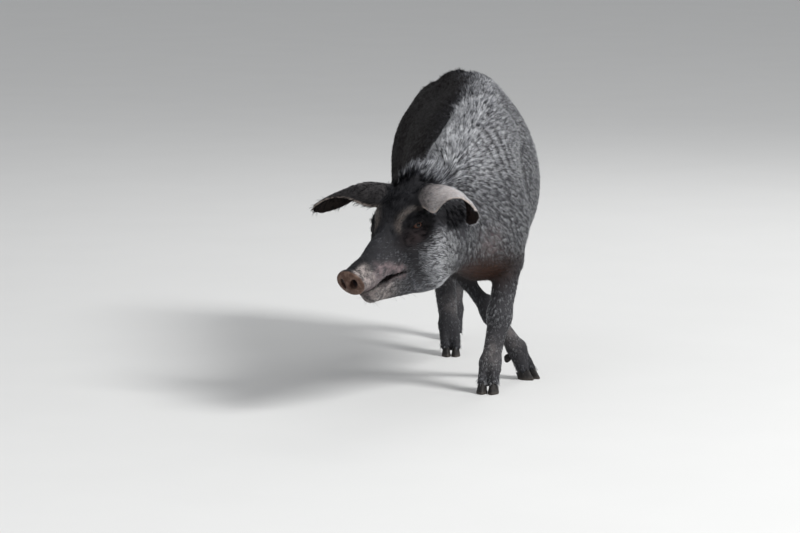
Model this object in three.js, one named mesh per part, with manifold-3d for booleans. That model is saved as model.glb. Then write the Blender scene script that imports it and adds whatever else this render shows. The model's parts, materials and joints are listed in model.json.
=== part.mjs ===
// A young black country pig, life size, walking and turning to its right with the head low.
// Millimetres, +Z up. The pig heads along -Y, its left side is +X, and the floor is z = 0.
import * as THREE from "three";
import { mergeVertices } from "three/addons/utils/BufferGeometryUtils.js";
import Module from "manifold-3d";

const wasm = await Module();
wasm.setup();

// ---------------------------------------------------------------- driving dimensions
const cutGap = 0.4; // clearance left by every thin cut between two parts
// Facet sizes along x, y and z.
const cell = {
  trunk: [50, 68, 50],
  neck: [40, 40, 40],
  head: [21, 21, 21],
};
const legStep = 27; // distance between the rings of a leg
const legSides = 14;

// Barrel of the body, from chest to rump. The back bends towards the pig's right.
const barrel = [
  { at: [28, 95, 442], radii: [98, 200, 196], yaw: 0 }, // chest
  { at: [27, 310, 460], radii: [149, 235, 226], yaw: 0 }, // ribs
  { at: [25, 420, 434], radii: [158, 232, 190], yaw: -4 }, // belly
  { at: [-3, 540, 486], radii: [134, 225, 172], yaw: -12 }, // loin
  { at: [-44, 675, 470], radii: [124, 170, 172], yaw: -18 }, // rump
];
const spine = [
  { at: [34, 40, 590], r: 46 },
  { at: [34, 200, 626], r: 40 },
  { at: [20, 380, 652], r: 40 },
  { at: [-12, 560, 646], r: 40 },
  { at: [-52, 720, 596], r: 42 },
  { at: [-84, 800, 520], r: 44 },
];
const neckCrest = [
  { at: [36, 60, 572], r: 74 },
  { at: [-22, -50, 530], r: 74 },
];
const neckThroat = [
  { at: [24, 20, 396], r: 114 },
  { at: [-56, -95, 392], r: 98 },
];

// Head: in its own frame x runs from the poll to the snout, y is the pig's left and z is up.
const head = { length: 322, snoutAt: [-262, -352, 303], yaw: 37, pitch: 22, roll: 2 };
const skull = [
  { at: [56, 0, 44], radii: [84, 62, 58] }, // cranium
  { at: [4, 0, 56], radii: [62, 58, 64] }, // poll
  { at: [50, 0, -88], radii: [92, 62, 56] }, // jowl
];
const skullPairs = [
  { at: [70, 42, -38], radii: [80, 40, 70] }, // cheek
  { at: [116, 40, 16], radii: [50, 24, 30] }, // cheekbone
  { at: [104, 34, 56], radii: [38, 24, 23] }, // brow
  { at: [222, 16, -20], radii: [80, 24, 24] }, // upper lip
  { at: [162, 19, -36], radii: [60, 26, 34] }, // corner of the mouth
];
const skullCones = [
  { from: [80, 0, 40], to: [205, 0, 4], r: [50, 33] }, // forehead to bridge
  { from: [200, 0, 2], to: [302, 0, -2], r: [34, 29] }, // snout
  { from: [70, 0, -98], to: [262, 0, -56], r: [52, 23] }, // lower jaw
];
const disc = { halfWidth: 37, halfHeight: 31.5, thick: 15, tilt: 8, edge: 5 };
const nostril = { side: 14, rise: 2, radius: 7, stretch: 1.35, depth: 26 };
const eye = { at: [118, 54, 39], radius: 13 };
const mouth = { corner: [180, -46], middle: [240, -36], front: [288, -38], open: 8 };

// Ears: half lop, carried out to the side and a little forward, each a deep trough that opens
// downwards at its root and forwards at its tip.
const ear = { thick: 6, rim: 3, faceRoot: [0.15, 0, 1] };
const ears = {
  1: {
    root: [50, 46, 89],
    tip: [103, 221, 67],
    rise: 7,
    faceTip: [-1, 0, 0.1],
    turn: [0.28, 0.9],
    stations: [
      { t: 0, chord: 56, deep: 26 },
      { t: 0.3, chord: 74, deep: 33 },
      { t: 0.6, chord: 82, deep: 39 },
      { t: 0.82, chord: 68, deep: 19 },
      { t: 0.94, chord: 50, deep: 9 },
      { t: 1, chord: 22, deep: 3 },
    ],
  },
  [-1]: {
    root: [50, -46, 80],
    tip: [136, -212, 74],
    rise: 18,
    faceTip: [-0.8, 0, 0.65],
    turn: [0.1, 0.8],
    stations: [
      { t: 0, chord: 60, deep: 28 },
      { t: 0.3, chord: 72, deep: 36 },
      { t: 0.6, chord: 54, deep: 22 },
      { t: 0.82, chord: 54, deep: 12 },
      { t: 0.94, chord: 46, deep: 8 },
      { t: 1, chord: 18, deep: 3 },
    ],
  },
};

// Legs: joint centres from the trunk to the floor; toe is the way the foot points.
const legs = {
  left_foreleg: {
    fore: true,
    side: 1,
    upper: { at: [84, 45, 415], radii: [38, 108, 134], lean: 14 },
    joints: [
      { at: [86, 20, 395], r: 43 },
      { at: [99, 66, 300], r: 35 },
      { at: [77, 30, 172], r: 28 },
      { at: [56, 8, 70], r: 25 },
    ],
    foot: [50, -6, 0],
    toe: [-0.15, -1, 0],
  },
  right_foreleg: {
    fore: true,
    side: -1,
    upper: { at: [-26, 55, 410], radii: [46, 108, 130], lean: 14 },
    joints: [
      { at: [-34, 50, 385], r: 43 },
      { at: [-39, 118, 298], r: 35 },
      { at: [8, 142, 234], r: 19 },
      { at: [55, 154, 168], r: 19 },
      { at: [121, 178, 74], r: 23 },
    ],
    foot: [146, 188, 0],
    toe: [0.75, -0.66, 0],
  },
  right_hindleg: {
    fore: false,
    side: -1,
    upper: { at: [-102, 650, 425], radii: [68, 132, 160], lean: -14 },
    joints: [
      { at: [-104, 610, 378], r: 58 },
      { at: [-80, 566, 308], r: 52 },
      { at: [-45, 640, 200], r: 30 },
      { at: [-31, 540, 74], r: 24 },
    ],
    foot: [-27, 512, 0],
    toe: [0, -1, 0],
  },
  left_hindleg: {
    fore: false,
    side: 1,
    upper: { at: [22, 690, 425], radii: [66, 132, 160], lean: -14 },
    joints: [
      { at: [38, 662, 388], r: 58 },
      { at: [30, 696, 306], r: 52 },
      { at: [-8, 822, 200], r: 30 },
      { at: [-18, 786, 74], r: 24 },
    ],
    foot: [-22, 758, 0],
    toe: [-0.05, -1, 0],
  },
};
const claw = { side: 13.5, length: 44, width: 25, front: 27, back: 13, taper: 0.8, slope: 10 };
const legMargin = 17; // how far the cut round a leg stands off its bones' radii
const hindScale = 0.87; // hind feet are smaller than fore feet
const dewclaw = { side: 16, behind: 25, height: 48, radius: 8, length: 22 };
const tail = {
  path: [[-88, 800, 560], [-104, 846, 566], [-116, 872, 520], [-112, 870, 440], [-126, 858, 372], [-122, 862, 330]],
  rootRadius: 17,
  tipRadius: 5,
};

// Planes of the thin cuts, each by a point and the way from the rear part to the front part.
const neckCut = { at: [8, -10, 470], normal: [-0.42, -0.86, -0.26] };
const headCut = { behind: 26, lean: 14 }; // just behind the ears, leaning forward at the throat

const degrees = THREE.MathUtils.degToRad;
const vector = (a) => new THREE.Vector3(...a);

// ---------------------------------------------------------------- distance functions
function smoothUnion(a, b, k) {
  const h = Math.max(k - Math.abs(a - b), 0) / k;
  return Math.min(a, b) - (h * h * k) / 4;
}

function blend(fields, k) {
  return (p) => fields.reduce((d, f) => smoothUnion(d, f(p), k), 1e4);
}

// Ellipsoid turned by yaw about Z after leaning about X, in degrees.
function ellipsoid({ at, radii, yaw = 0, lean = 0 }) {
  const turn = new THREE.Euler(degrees(lean), 0, degrees(yaw), "ZYX");
  const m = new THREE.Matrix4().makeRotationFromEuler(turn).transpose().elements;
  const [a, b, c] = radii;
  return (p) => {
    const x = p[0] - at[0];
    const y = p[1] - at[1];
    const z = p[2] - at[2];
    const u = m[0] * x + m[4] * y + m[8] * z;
    const v = m[1] * x + m[5] * y + m[9] * z;
    const w = m[2] * x + m[6] * y + m[10] * z;
    const k0 = Math.hypot(u / a, v / b, w / c);
    const k1 = Math.hypot(u / (a * a), v / (b * b), w / (c * c));
    return k1 < 1e-9 ? -Math.min(a, b, c) : (k0 * (k0 - 1)) / k1;
  };
}

// Cone with round ends, from a with radius r1 to b with radius r2.
function roundCone(a, b, r1, r2) {
  const ba = [b[0] - a[0], b[1] - a[1], b[2] - a[2]];
  const l2 = ba[0] ** 2 + ba[1] ** 2 + ba[2] ** 2;
  const rr = r1 - r2;
  const a2 = l2 - rr * rr;
  return (p) => {
    const pa = [p[0] - a[0], p[1] - a[1], p[2] - a[2]];
    const y = pa[0] * ba[0] + pa[1] * ba[1] + pa[2] * ba[2];
    const z = y - l2;
    const x2 =
      (pa[0] * l2 - ba[0] * y) ** 2 + (pa[1] * l2 - ba[1] * y) ** 2 + (pa[2] * l2 - ba[2] * y) ** 2;
    const k = Math.sign(rr) * rr * rr * x2;
    if (Math.sign(z) * a2 * z * z * l2 > k) return Math.sqrt(x2 + z * z * l2) / l2 - r2;
    if (Math.sign(y) * a2 * y * y * l2 < k) return Math.sqrt(x2 + y * y * l2) / l2 - r1;
    return (Math.sqrt((x2 * a2) / l2) + y * rr) / l2 - r1;
  };
}

function chain(joints, k) {
  const cones = joints.slice(1).map((j, i) => roundCone(joints[i].at, j.at, joints[i].r, j.r));
  return blend(cones, k);
}

// ---------------------------------------------------------------- the pig's own frames
const headFrame = new THREE.Matrix4();
{
  const yaw = degrees(head.yaw);
  const pitch = degrees(head.pitch);
  const forward = new THREE.Vector3(
    -Math.sin(yaw) * Math.cos(pitch),
    -Math.cos(yaw) * Math.cos(pitch),
    -Math.sin(pitch),
  );
  const left = new THREE.Vector3(Math.cos(yaw), -Math.sin(yaw), 0).applyAxisAngle(
    forward,
    degrees(head.roll),
  );
  const up = new THREE.Vector3().crossVectors(forward, left);
  headFrame.makeBasis(forward, left, up);
  headFrame.setPosition(vector(head.snoutAt).addScaledVector(forward, -head.length));
}
const headInverse = headFrame.clone().invert().elements;

function toHead(p) {
  const m = headInverse;
  return [
    m[0] * p[0] + m[4] * p[1] + m[8] * p[2] + m[12],
    m[1] * p[0] + m[5] * p[1] + m[9] * p[2] + m[13],
    m[2] * p[0] + m[6] * p[1] + m[10] * p[2] + m[14],
  ];
}
const fromHead = (a) => vector(a).applyMatrix4(headFrame).toArray();

// Frame of a foot: x towards the toe, y to its left, z up, on the floor.
function footFrame(leg) {
  const x = vector(leg.toe).normalize();
  const y = new THREE.Vector3(0, 0, 1).cross(x);
  return new THREE.Matrix4().makeBasis(x, y, new THREE.Vector3(0, 0, 1)).setPosition(vector(leg.foot));
}

// ---------------------------------------------------------------- body fields
const mirrorY = (at, side) => [at[0], at[1] * side, at[2]];

function makeHeadField() {
  const fields = skull.map(ellipsoid);
  for (const side of [1, -1])
    fields.push(...skullPairs.map((s) => ellipsoid({ ...s, at: mirrorY(s.at, side) })));
  fields.push(...skullCones.map((c) => roundCone(c.from, c.to, ...c.r)));
  const bulk = blend(fields, 20);
  return (p) => bulk(toHead(p));
}

function makeLegField(leg) {
  const frame = footFrame(leg);
  const fetlock = leg.joints.at(-1);
  const digits = [1, -1].map((side) => {
    const low = new THREE.Vector3(6, side * claw.side * 0.9, 12).applyMatrix4(frame).toArray();
    const high = vector(fetlock.at).addScaledVector(new THREE.Vector3().setFromMatrixColumn(frame, 1), side * 9);
    return roundCone(high.toArray(), low, 20, 15);
  });
  const heel = new THREE.Vector3(-13, 0, 14).applyMatrix4(frame).toArray();
  const knee = leg.joints.at(-2);
  const fields = [chain(leg.joints, 14), ...digits, roundCone(fetlock.at, heel, 20, 15)];
  const bend = leg.joints[1].at;
  if (leg.fore) {
    const elbow = [bend[0], bend[1] + 10, bend[2] + 22];
    fields.push(ellipsoid({ at: knee.at, radii: [knee.r, knee.r + 4, 38] }));
    fields.push(ellipsoid({ at: elbow, radii: [34, 54, 82], lean: 16 }));
  } else {
    const thigh = [bend[0], bend[1] + 12, bend[2] + 14];
    fields.push(ellipsoid({ at: thigh, radii: [48, 76, 88], lean: -22 }));
    const point = [knee.at[0], knee.at[1] + 22, knee.at[2] + 16];
    const above = [knee.at[0] * 0.7 + leg.joints[1].at[0] * 0.3, knee.at[1] + 4, knee.at[2] + 84];
    fields.push(roundCone(point, above, 16, 15), ellipsoid({ at: knee.at, radii: [30, 38, 40] }));
  }
  return smoothPair(blend(fields, 12), ellipsoid(leg.upper), 40);
}

function smoothPair(a, b, k) {
  return (p) => smoothUnion(a(p), b(p), k);
}

const headField = makeHeadField();
const neckField = smoothPair(chain(neckCrest, 40), chain(neckThroat, 40), 70);
const barrelField = smoothPair(blend(barrel.map(ellipsoid), 50), chain(spine, 40), 60);
const legFields = Object.fromEntries(Object.entries(legs).map(([n, leg]) => [n, makeLegField(leg)]));

// The whole skin: every form run into its neighbours.
function flesh(p) {
  const body = smoothUnion(smoothUnion(barrelField(p), neckField(p), 70), headField(p), 36);
  return Object.values(legFields).reduce((d, f) => smoothUnion(d, f(p), 26), body);
}

// ---------------------------------------------------------------- solids
// Positions and faces alone, with the doubles at seams merged.
function welded(geometry) {
  const bare = geometry.clone();
  for (const name of Object.keys(bare.attributes)) if (name !== "position") bare.deleteAttribute(name);
  return mergeVertices(bare, 1e-3);
}

function solidOf(geometry) {
  const merged = welded(geometry);
  const mesh = new wasm.Mesh({
    numProp: 3,
    vertProperties: new Float32Array(merged.attributes.position.array),
    triVerts: new Uint32Array(merged.index.array),
  });
  return new wasm.Manifold(mesh);
}

function geometryOf(solid) {
  const { vertProperties, triVerts, numProp } = solid.getMesh();
  const positions = new Float32Array((vertProperties.length / numProp) * 3);
  for (let i = 0; i < positions.length / 3; i++)
    for (let j = 0; j < 3; j++) positions[3 * i + j] = vertProperties[numProp * i + j];
  const g = new THREE.BufferGeometry();
  g.setAttribute("position", new THREE.BufferAttribute(positions, 3));
  g.setIndex(new THREE.BufferAttribute(new Uint32Array(triVerts), 1));
  return g;
}

function indexed(positions, triangles) {
  const g = new THREE.BufferGeometry();
  g.setAttribute("position", new THREE.Float32BufferAttribute(positions, 3));
  g.setIndex(triangles);
  return g;
}

// Moves every vertex out along its normal.
function grown(geometry, amount) {
  const g = welded(geometry);
  g.computeVertexNormals();
  const { position, normal } = g.attributes;
  for (let i = 0; i < position.count; i++)
    position.setXYZ(
      i,
      position.getX(i) + amount * normal.getX(i),
      position.getY(i) + amount * normal.getY(i),
      position.getZ(i) + amount * normal.getZ(i),
    );
  return g;
}

// Where two inside corners of a grid square touch only across it, fills in the nearer outside corner,
// so that the facets never meet along an edge from both sides.
function fillCorners(value, n) {
  const strides = [1, n[0], n[0] * n[1]];
  const squares = [
    [0, 1],
    [1, 2],
    [0, 2],
  ];
  for (let changed = true; changed; ) {
    changed = false;
    for (let k = 0; k < n[2] - 1; k++)
      for (let j = 0; j < n[1] - 1; j++)
        for (let i = 0; i < n[0] - 1; i++)
          for (const [p, q] of squares) {
            const a = (k * n[1] + j) * n[0] + i;
            const ring = [a, a + strides[p], a + strides[p] + strides[q], a + strides[q]];
            const inside = ring.map((c) => value[c] < 0);
            if (inside[0] !== inside[2] || inside[1] !== inside[3] || inside[0] === inside[1]) continue;
            const [s, t] = inside[0] ? [ring[1], ring[3]] : [ring[0], ring[2]];
            value[value[s] < value[t] ? s : t] = -0.01;
            changed = true;
          }
  }
}

// Closed facets of the field's zero level inside a box: one vertex in each cell that the surface crosses.
function facets(field, low, high, size) {
  const n = [0, 1, 2].map((i) => Math.ceil((high[i] - low[i]) / size[i]) + 1);
  const corner = (i, j, k) => [low[0] + i * size[0], low[1] + j * size[1], low[2] + k * size[2]];
  const finest = Math.min(...size);
  const at = (i, j, k) => (k * n[1] + j) * n[0] + i;
  const value = new Float64Array(n[0] * n[1] * n[2]);
  for (let k = 0; k < n[2]; k++)
    for (let j = 0; j < n[1]; j++)
      for (let i = 0; i < n[0]; i++) {
        const edge = i * j * k === 0 || i === n[0] - 1 || j === n[1] - 1 || k === n[2] - 1;
        value[at(i, j, k)] = edge ? Math.max(field(corner(i, j, k)), finest / 2) : field(corner(i, j, k));
      }
  fillCorners(value, n);
  const vertexOf = new Int32Array(value.length).fill(-1);
  const positions = [];
  const ends = [];
  for (let c = 0; c < 8; c++)
    for (const bit of [1, 2, 4]) if (!(c & bit)) ends.push([c, c | bit]);
  const offset = (c) => [c & 1, (c >> 1) & 1, (c >> 2) & 1];
  for (let k = 0; k < n[2] - 1; k++)
    for (let j = 0; j < n[1] - 1; j++)
      for (let i = 0; i < n[0] - 1; i++) {
        const sum = [0, 0, 0];
        let crossings = 0;
        for (const [a, b] of ends) {
          const oa = offset(a);
          const ob = offset(b);
          const va = value[at(i + oa[0], j + oa[1], k + oa[2])];
          const vb = value[at(i + ob[0], j + ob[1], k + ob[2])];
          if (va < 0 === vb < 0) continue;
          const t = va / (va - vb);
          for (let d = 0; d < 3; d++) sum[d] += oa[d] + t * (ob[d] - oa[d]);
          crossings++;
        }
        if (!crossings) continue;
        const p = corner(i, j, k).map((c, d) => c + (sum[d] / crossings) * size[d]);
        vertexOf[at(i, j, k)] = positions.length / 3;
        positions.push(...settled(field, p, finest));
      }
  const triangles = [];
  const quad = (a, b, c, d, flip) => {
    const q = flip ? [a, d, c, b] : [a, b, c, d];
    const gap = (s, t) => Math.hypot(...[0, 1, 2].map((m) => positions[3 * s + m] - positions[3 * t + m]));
    if (gap(q[0], q[2]) < gap(q[1], q[3])) triangles.push(q[0], q[1], q[2], q[0], q[2], q[3]);
    else triangles.push(q[1], q[2], q[3], q[1], q[3], q[0]);
  };
  for (let k = 0; k < n[2] - 1; k++)
    for (let j = 0; j < n[1] - 1; j++)
      for (let i = 0; i < n[0] - 1; i++) {
        const here = value[at(i, j, k)] < 0;
        const v = (a, b, c) => vertexOf[at(i - a, j - b, k - c)];
        if (j && k && here !== value[at(i + 1, j, k)] < 0)
          quad(v(0, 1, 1), v(0, 0, 1), v(0, 0, 0), v(0, 1, 0), !here);
        if (i && k && here !== value[at(i, j + 1, k)] < 0)
          quad(v(1, 0, 1), v(1, 0, 0), v(0, 0, 0), v(0, 0, 1), !here);
        if (i && j && here !== value[at(i, j, k + 1)] < 0)
          quad(v(1, 1, 0), v(0, 1, 0), v(0, 0, 0), v(1, 0, 0), !here);
      }
  return indexed(positions, triangles);
}

// Slides a point onto the surface, at most most of a cell away.
function settled(field, start, size) {
  const step = 0.5;
  const p = [...start];
  for (let turn = 0; turn < 3; turn++) {
    const d = field(p);
    const slope = [0, 1, 2].map((m) => {
      const q = [...p];
      q[m] += step;
      return (field(q) - d) / step;
    });
    const steep = Math.max(slope[0] ** 2 + slope[1] ** 2 + slope[2] ** 2, 0.05);
    for (let m = 0; m < 3; m++) p[m] -= (d * slope[m]) / steep;
  }
  const limit = 0.6 * size;
  return p.map((c, m) => THREE.MathUtils.clamp(c, start[m] - limit, start[m] + limit));
}

// Box around some points, in the body frame.
function around(points, margin) {
  const box = new THREE.Box3().setFromPoints(points.map(vector)).expandByScalar(margin);
  return [box.min.toArray(), box.max.toArray()];
}

// A big block whose face lies on a plane, set back from it by half a cut, on the side that normal points to.
function beyond(at, normal) {
  const size = 3000;
  const way = vector(normal).normalize();
  const block = new THREE.BoxGeometry(size, size, size);
  block.applyQuaternion(new THREE.Quaternion().setFromUnitVectors(new THREE.Vector3(0, 0, 1), way));
  block.translate(...vector(at).addScaledVector(way, size / 2 - cutGap / 2).toArray());
  return solidOf(block);
}
const behind = (at, normal) => beyond(at, normal.map((c) => -c));

// Closed shell over rings of points with the same count. Its ends are fans around their middle, or
// strips between the two walls of a folded ring.
function loft(rings, folded = false) {
  const count = rings[0].length;
  const positions = rings.flat(2);
  const triangles = [];
  for (let i = 0; i < count; i++) {
    const next = (i + 1) % count;
    for (let r = 0; r + 1 < rings.length; r++) {
      const a = r * count + i;
      const b = r * count + next;
      triangles.push(a, b, b + count, a, b + count, a + count);
    }
  }
  const close = (base, flip) => {
    const add = (a, b, c) => triangles.push(...(flip ? [a, b, c] : [a, c, b]));
    if (folded) {
      for (let i = 0; i < count / 2 - 1; i++) {
        const j = count - 1 - i;
        add(base + i, base + i + 1, base + j - 1);
        add(base + i, base + j - 1, base + j);
      }
      return;
    }
    const ring = positions.slice(3 * base, 3 * (base + count));
    for (let m = 0; m < 3; m++) positions.push(ring.filter((_, i) => i % 3 === m).reduce((s, c) => s + c) / count);
    const middle = positions.length / 3 - 1;
    for (let i = 0; i < count; i++) add(base + i, base + ((i + 1) % count), middle);
  };
  close(0, false);
  close((rings.length - 1) * count, true);
  return indexed(positions, triangles);
}

// The largest closed shell of a solid, without crumbs left by a cut.
function mainShell(geometry) {
  const index = geometry.index.array;
  const group = Array.from({ length: geometry.attributes.position.count }, (_, i) => i);
  const rootOf = (i) => {
    while (group[i] !== i) i = group[i] = group[group[i]];
    return i;
  };
  for (let i = 0; i < index.length; i += 3) {
    group[rootOf(index[i])] = rootOf(index[i + 1]);
    group[rootOf(index[i + 1])] = rootOf(index[i + 2]);
  }
  const faces = new Map();
  for (let i = 0; i < index.length; i += 3) {
    const key = rootOf(index[i]);
    if (!faces.has(key)) faces.set(key, []);
    faces.get(key).push(index[i], index[i + 1], index[i + 2]);
  }
  const largest = [...faces.values()].sort((a, b) => b.length - a.length)[0];
  const kept = indexed(Array.from(geometry.attributes.position.array), largest);
  return geometryOf(solidOf(kept));
}

// Faces outwards, whichever way its rings were wound.
function outward(geometry) {
  const s = solidOf(geometry);
  if (s.volume() > 0) return geometry;
  const flat = Array.from(geometry.index.array);
  for (let i = 0; i < flat.length; i += 3) [flat[i + 1], flat[i + 2]] = [flat[i + 2], flat[i + 1]];
  return indexed(Array.from(geometry.attributes.position.array), flat);
}

// ---------------------------------------------------------------- ears, eyes, claws and tail
function stationAt(stations, t) {
  const next = stations.findIndex((s) => s.t >= t);
  if (next <= 0) return stations[0];
  const a = stations[next - 1];
  const b = stations[next];
  const k = THREE.MathUtils.smoothstep(t, a.t, b.t) * 0.4 + ((t - a.t) / (b.t - a.t)) * 0.6;
  return { chord: THREE.MathUtils.lerp(a.chord, b.chord, k), deep: THREE.MathUtils.lerp(a.deep, b.deep, k) };
}

function earGeometry(side) {
  const leaf = ears[side];
  const root = vector(leaf.root);
  const tip = vector(leaf.tip);
  const out = tip.clone().sub(root).normalize();
  const steps = 8;
  const lanes = 7;
  const rings = [];
  for (let s = 0; s <= steps; s++) {
    const t = (s / steps) ** 0.9;
    const { chord, deep } = stationAt(leaf.stations, t);
    const face = vector(ear.faceRoot).lerp(vector(leaf.faceTip), THREE.MathUtils.smoothstep(t, ...leaf.turn));
    face.addScaledVector(out, -face.dot(out)).normalize();
    const across = new THREE.Vector3().crossVectors(out, face).multiplyScalar(side);
    const radius = (chord * chord) / (8 * deep) + deep / 2;
    const half = chord / 2 > deep ? Math.asin(chord / 2 / radius) : Math.PI - Math.asin(chord / 2 / radius);
    const centre = root
      .clone()
      .lerp(tip, t)
      .addScaledVector(face, leaf.rise * 4 * t * (1 - t) - deep / 2);
    const ring = [];
    for (const layer of [0, 1])
      for (let l = 0; l < lanes; l++) {
        const v = (layer ? lanes - 1 - l : l) / (lanes - 1);
        const x = 2 * v - 1; // -1 at the rear rim, 1 at the front rim
        const wall = ear.rim + (ear.thick * (1 - 0.4 * t) - ear.rim) * (1 - x ** 4);
        const r = radius + (layer ? -0.5 : 0.5) * wall;
        const p = centre
          .clone()
          .addScaledVector(across, r * Math.sin(x * half))
          .addScaledVector(face, r * Math.cos(x * half) - radius + deep);
        ring.push(fromHead(p.toArray()));
      }
    rings.push(ring);
  }
  return outward(loft(rings, true));
}

function eyeGeometry(side, extra = 0) {
  const ball = new THREE.SphereGeometry(eye.radius + extra, 12, 8);
  return ball.translate(...fromHead(mirrorY(eye.at, side)));
}

// One claw: a blunt wedge from the coronet plane down to the floor.
const coronet = { front: claw.front, back: claw.back };
function clawGeometry(leg, side) {
  const points = 10;
  const frame = footFrame(leg).scale(new THREE.Vector3(1, 1, 1).multiplyScalar(leg.fore ? 1 : hindScale));
  const ring = (scale, shift, level) => {
    const made = [];
    for (let i = 0; i < points; i++) {
      const a = (2 * Math.PI * i) / points;
      const along = Math.cos(a);
      const pinch = 1 - 0.32 * Math.max(along, 0) ** 2; // narrower at the toe
      const x = shift + (claw.length / 2) * along * scale;
      const y = side * claw.side + (claw.width / 2) * Math.sin(a) * scale * pinch - side * 2 * Math.max(along, 0);
      made.push(new THREE.Vector3(x, y, level(x)).applyMatrix4(frame).toArray());
    }
    return made;
  };
  const slant = (x) => coronetHeight(x) - cutGap / 2;
  return outward(
    loft([
      ring(0.94, 7, () => 0),
      ring(1, 7, () => 3.5),
      ring(claw.taper, 7 - claw.slope, slant),
    ]),
  );
}
function coronetHeight(x) {
  const t = (x + claw.length / 2) / claw.length;
  return THREE.MathUtils.lerp(coronet.back, coronet.front, t);
}

function dewclawGeometry(leg, side) {
  const frame = footFrame(leg);
  const fetlock = vector(leg.joints.at(-1).at);
  const foot = vector(leg.foot);
  const base = foot.clone().lerp(fetlock, dewclaw.height / fetlock.z);
  const g = new THREE.SphereGeometry(1, 7, 5);
  g.scale(dewclaw.radius * 1.15, dewclaw.radius, dewclaw.length / 2);
  g.rotateY(degrees(24));
  g.translate(-dewclaw.behind, side * dewclaw.side, 0);
  frame.setPosition(base);
  return g.applyMatrix4(frame);
}

function tailGeometry() {
  const curve = new THREE.CatmullRomCurve3(tail.path.map(vector));
  const steps = 14;
  const sides = 8;
  const frames = curve.computeFrenetFrames(steps, false);
  const rings = [];
  for (let s = 0; s <= steps; s++) {
    const t = s / steps;
    const r = THREE.MathUtils.lerp(tail.rootRadius, tail.tipRadius, t ** 0.7);
    const c = curve.getPointAt(t);
    rings.push(
      Array.from({ length: sides }, (_, i) => {
        const a = (2 * Math.PI * i) / sides;
        return c
          .clone()
          .addScaledVector(frames.normals[s], r * Math.cos(a))
          .addScaledVector(frames.binormals[s], r * Math.sin(a))
          .toArray();
      }),
    );
  }
  return outward(loft(rings));
}

// ---------------------------------------------------------------- cutting the body into its parts
// Rings of points round a leg's own middle line, from inside the body down to the floor. Each point
// is where a ray leaves the flesh, or the round limit of the leg's cut where it is still inside.
function legRings(leg, extra, skin) {
  const points = [...leg.joints.map((j) => vector(j.at)), vector(leg.foot).setZ(4)];
  const reach = [...leg.joints.map((j) => j.r + legMargin), legMargin + 27];
  const curve = new THREE.CatmullRomCurve3(points, false, "centripetal");
  const steps = Math.round(curve.getLength() / legStep);
  const rings = [];
  for (let s = -2; s <= steps; s++) {
    const along = Math.max(s, 0) / steps;
    const t = curve.getUtoTmapping(along);
    const tangent = curve.getTangent(t);
    const centre = curve.getPoint(t);
    const span = Math.min(t * (points.length - 1), points.length - 1.001);
    const base = Math.floor(span);
    let limit = THREE.MathUtils.lerp(reach[base], reach[base + 1], span - base) + extra;
    if (s < 0) {
      // a dome over the top, inside the body
      const rise = s === -1 ? 0.62 : 0.94;
      centre.addScaledVector(tangent, -rise * limit);
      limit *= Math.sqrt(1 - rise * rise);
    }
    const front = vector(leg.toe);
    front.addScaledVector(tangent, -front.dot(tangent)).normalize();
    const left = new THREE.Vector3().crossVectors(front, tangent);
    rings.push(
      Array.from({ length: legSides }, (_, i) => {
        const a = (2 * Math.PI * (i + 0.5)) / legSides;
        const way = front.clone().multiplyScalar(Math.cos(a)).addScaledVector(left, Math.sin(a));
        const r = skin ? rayOut(centre, way, limit) : limit;
        return centre.clone().addScaledVector(way, r).toArray();
      }),
    );
  }
  return rings;
}

function rayOut(from, way, limit) {
  const at = (r) => flesh(from.clone().addScaledVector(way, r).toArray());
  let inside = 0;
  for (let r = 4; r <= limit + 4; r += 4) {
    if (at(Math.min(r, limit)) >= 0) {
      let outside = r;
      for (let i = 0; i < 12; i++) {
        const middle = (inside + outside) / 2;
        if (at(middle) >= 0) outside = middle;
        else inside = middle;
      }
      return Math.max(Math.min(outside, limit), 2);
    }
    inside = Math.min(r, limit);
  }
  return limit;
}

function mouthCutter() {
  const { corner, middle, front, open } = mouth;
  const shape = new THREE.Shape();
  const reach = head.length + 60;
  shape.moveTo(corner[0], corner[1] + 0.3);
  shape.quadraticCurveTo(middle[0], middle[1] + open / 2, front[0], front[1] + 0.8);
  shape.lineTo(reach, front[1] + 1.2);
  shape.lineTo(reach, front[1] - 1.2);
  shape.lineTo(front[0], front[1] - 0.8);
  shape.quadraticCurveTo(middle[0], middle[1] - open / 2 - 6, corner[0], corner[1] - 0.3);
  const depth = 160;
  const slab = new THREE.ExtrudeGeometry(shape, { depth, bevelEnabled: false, curveSegments: 8 });
  slab.translate(0, 0, -depth / 2);
  slab.rotateX(Math.PI / 2); // the profile's height becomes the head's z
  return solidOf(slab.applyMatrix4(headFrame));
}

// The disc at the tip of the snout: a short oval plate with a rounded edge, its face turned up a little.
function discFrame() {
  const tilt = new THREE.Matrix4().makeRotationY(-degrees(disc.tilt));
  return tilt.setPosition(head.length - disc.thick, 0, 0).premultiply(headFrame);
}

function discGeometry() {
  const { halfWidth, halfHeight, thick, edge } = disc;
  const sides = 22;
  const frame = discFrame();
  const levels = [
    [0, edge * 0.6],
    [thick * 0.4, 0],
    [thick - edge, 0.6],
    [thick - edge * 0.25, edge * 0.5],
    [thick, edge * 1.25],
  ];
  const rings = levels.map(([x, inset]) =>
    Array.from({ length: sides }, (_, i) => {
      const a = (2 * Math.PI * i) / sides;
      const y = (halfWidth - inset) * Math.cos(a);
      const z = (halfHeight - inset) * Math.sin(a) * (1 - 0.06 * Math.sin(a));
      return new THREE.Vector3(x, y, z).applyMatrix4(frame).toArray();
    }),
  );
  return outward(loft(rings));
}

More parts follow.
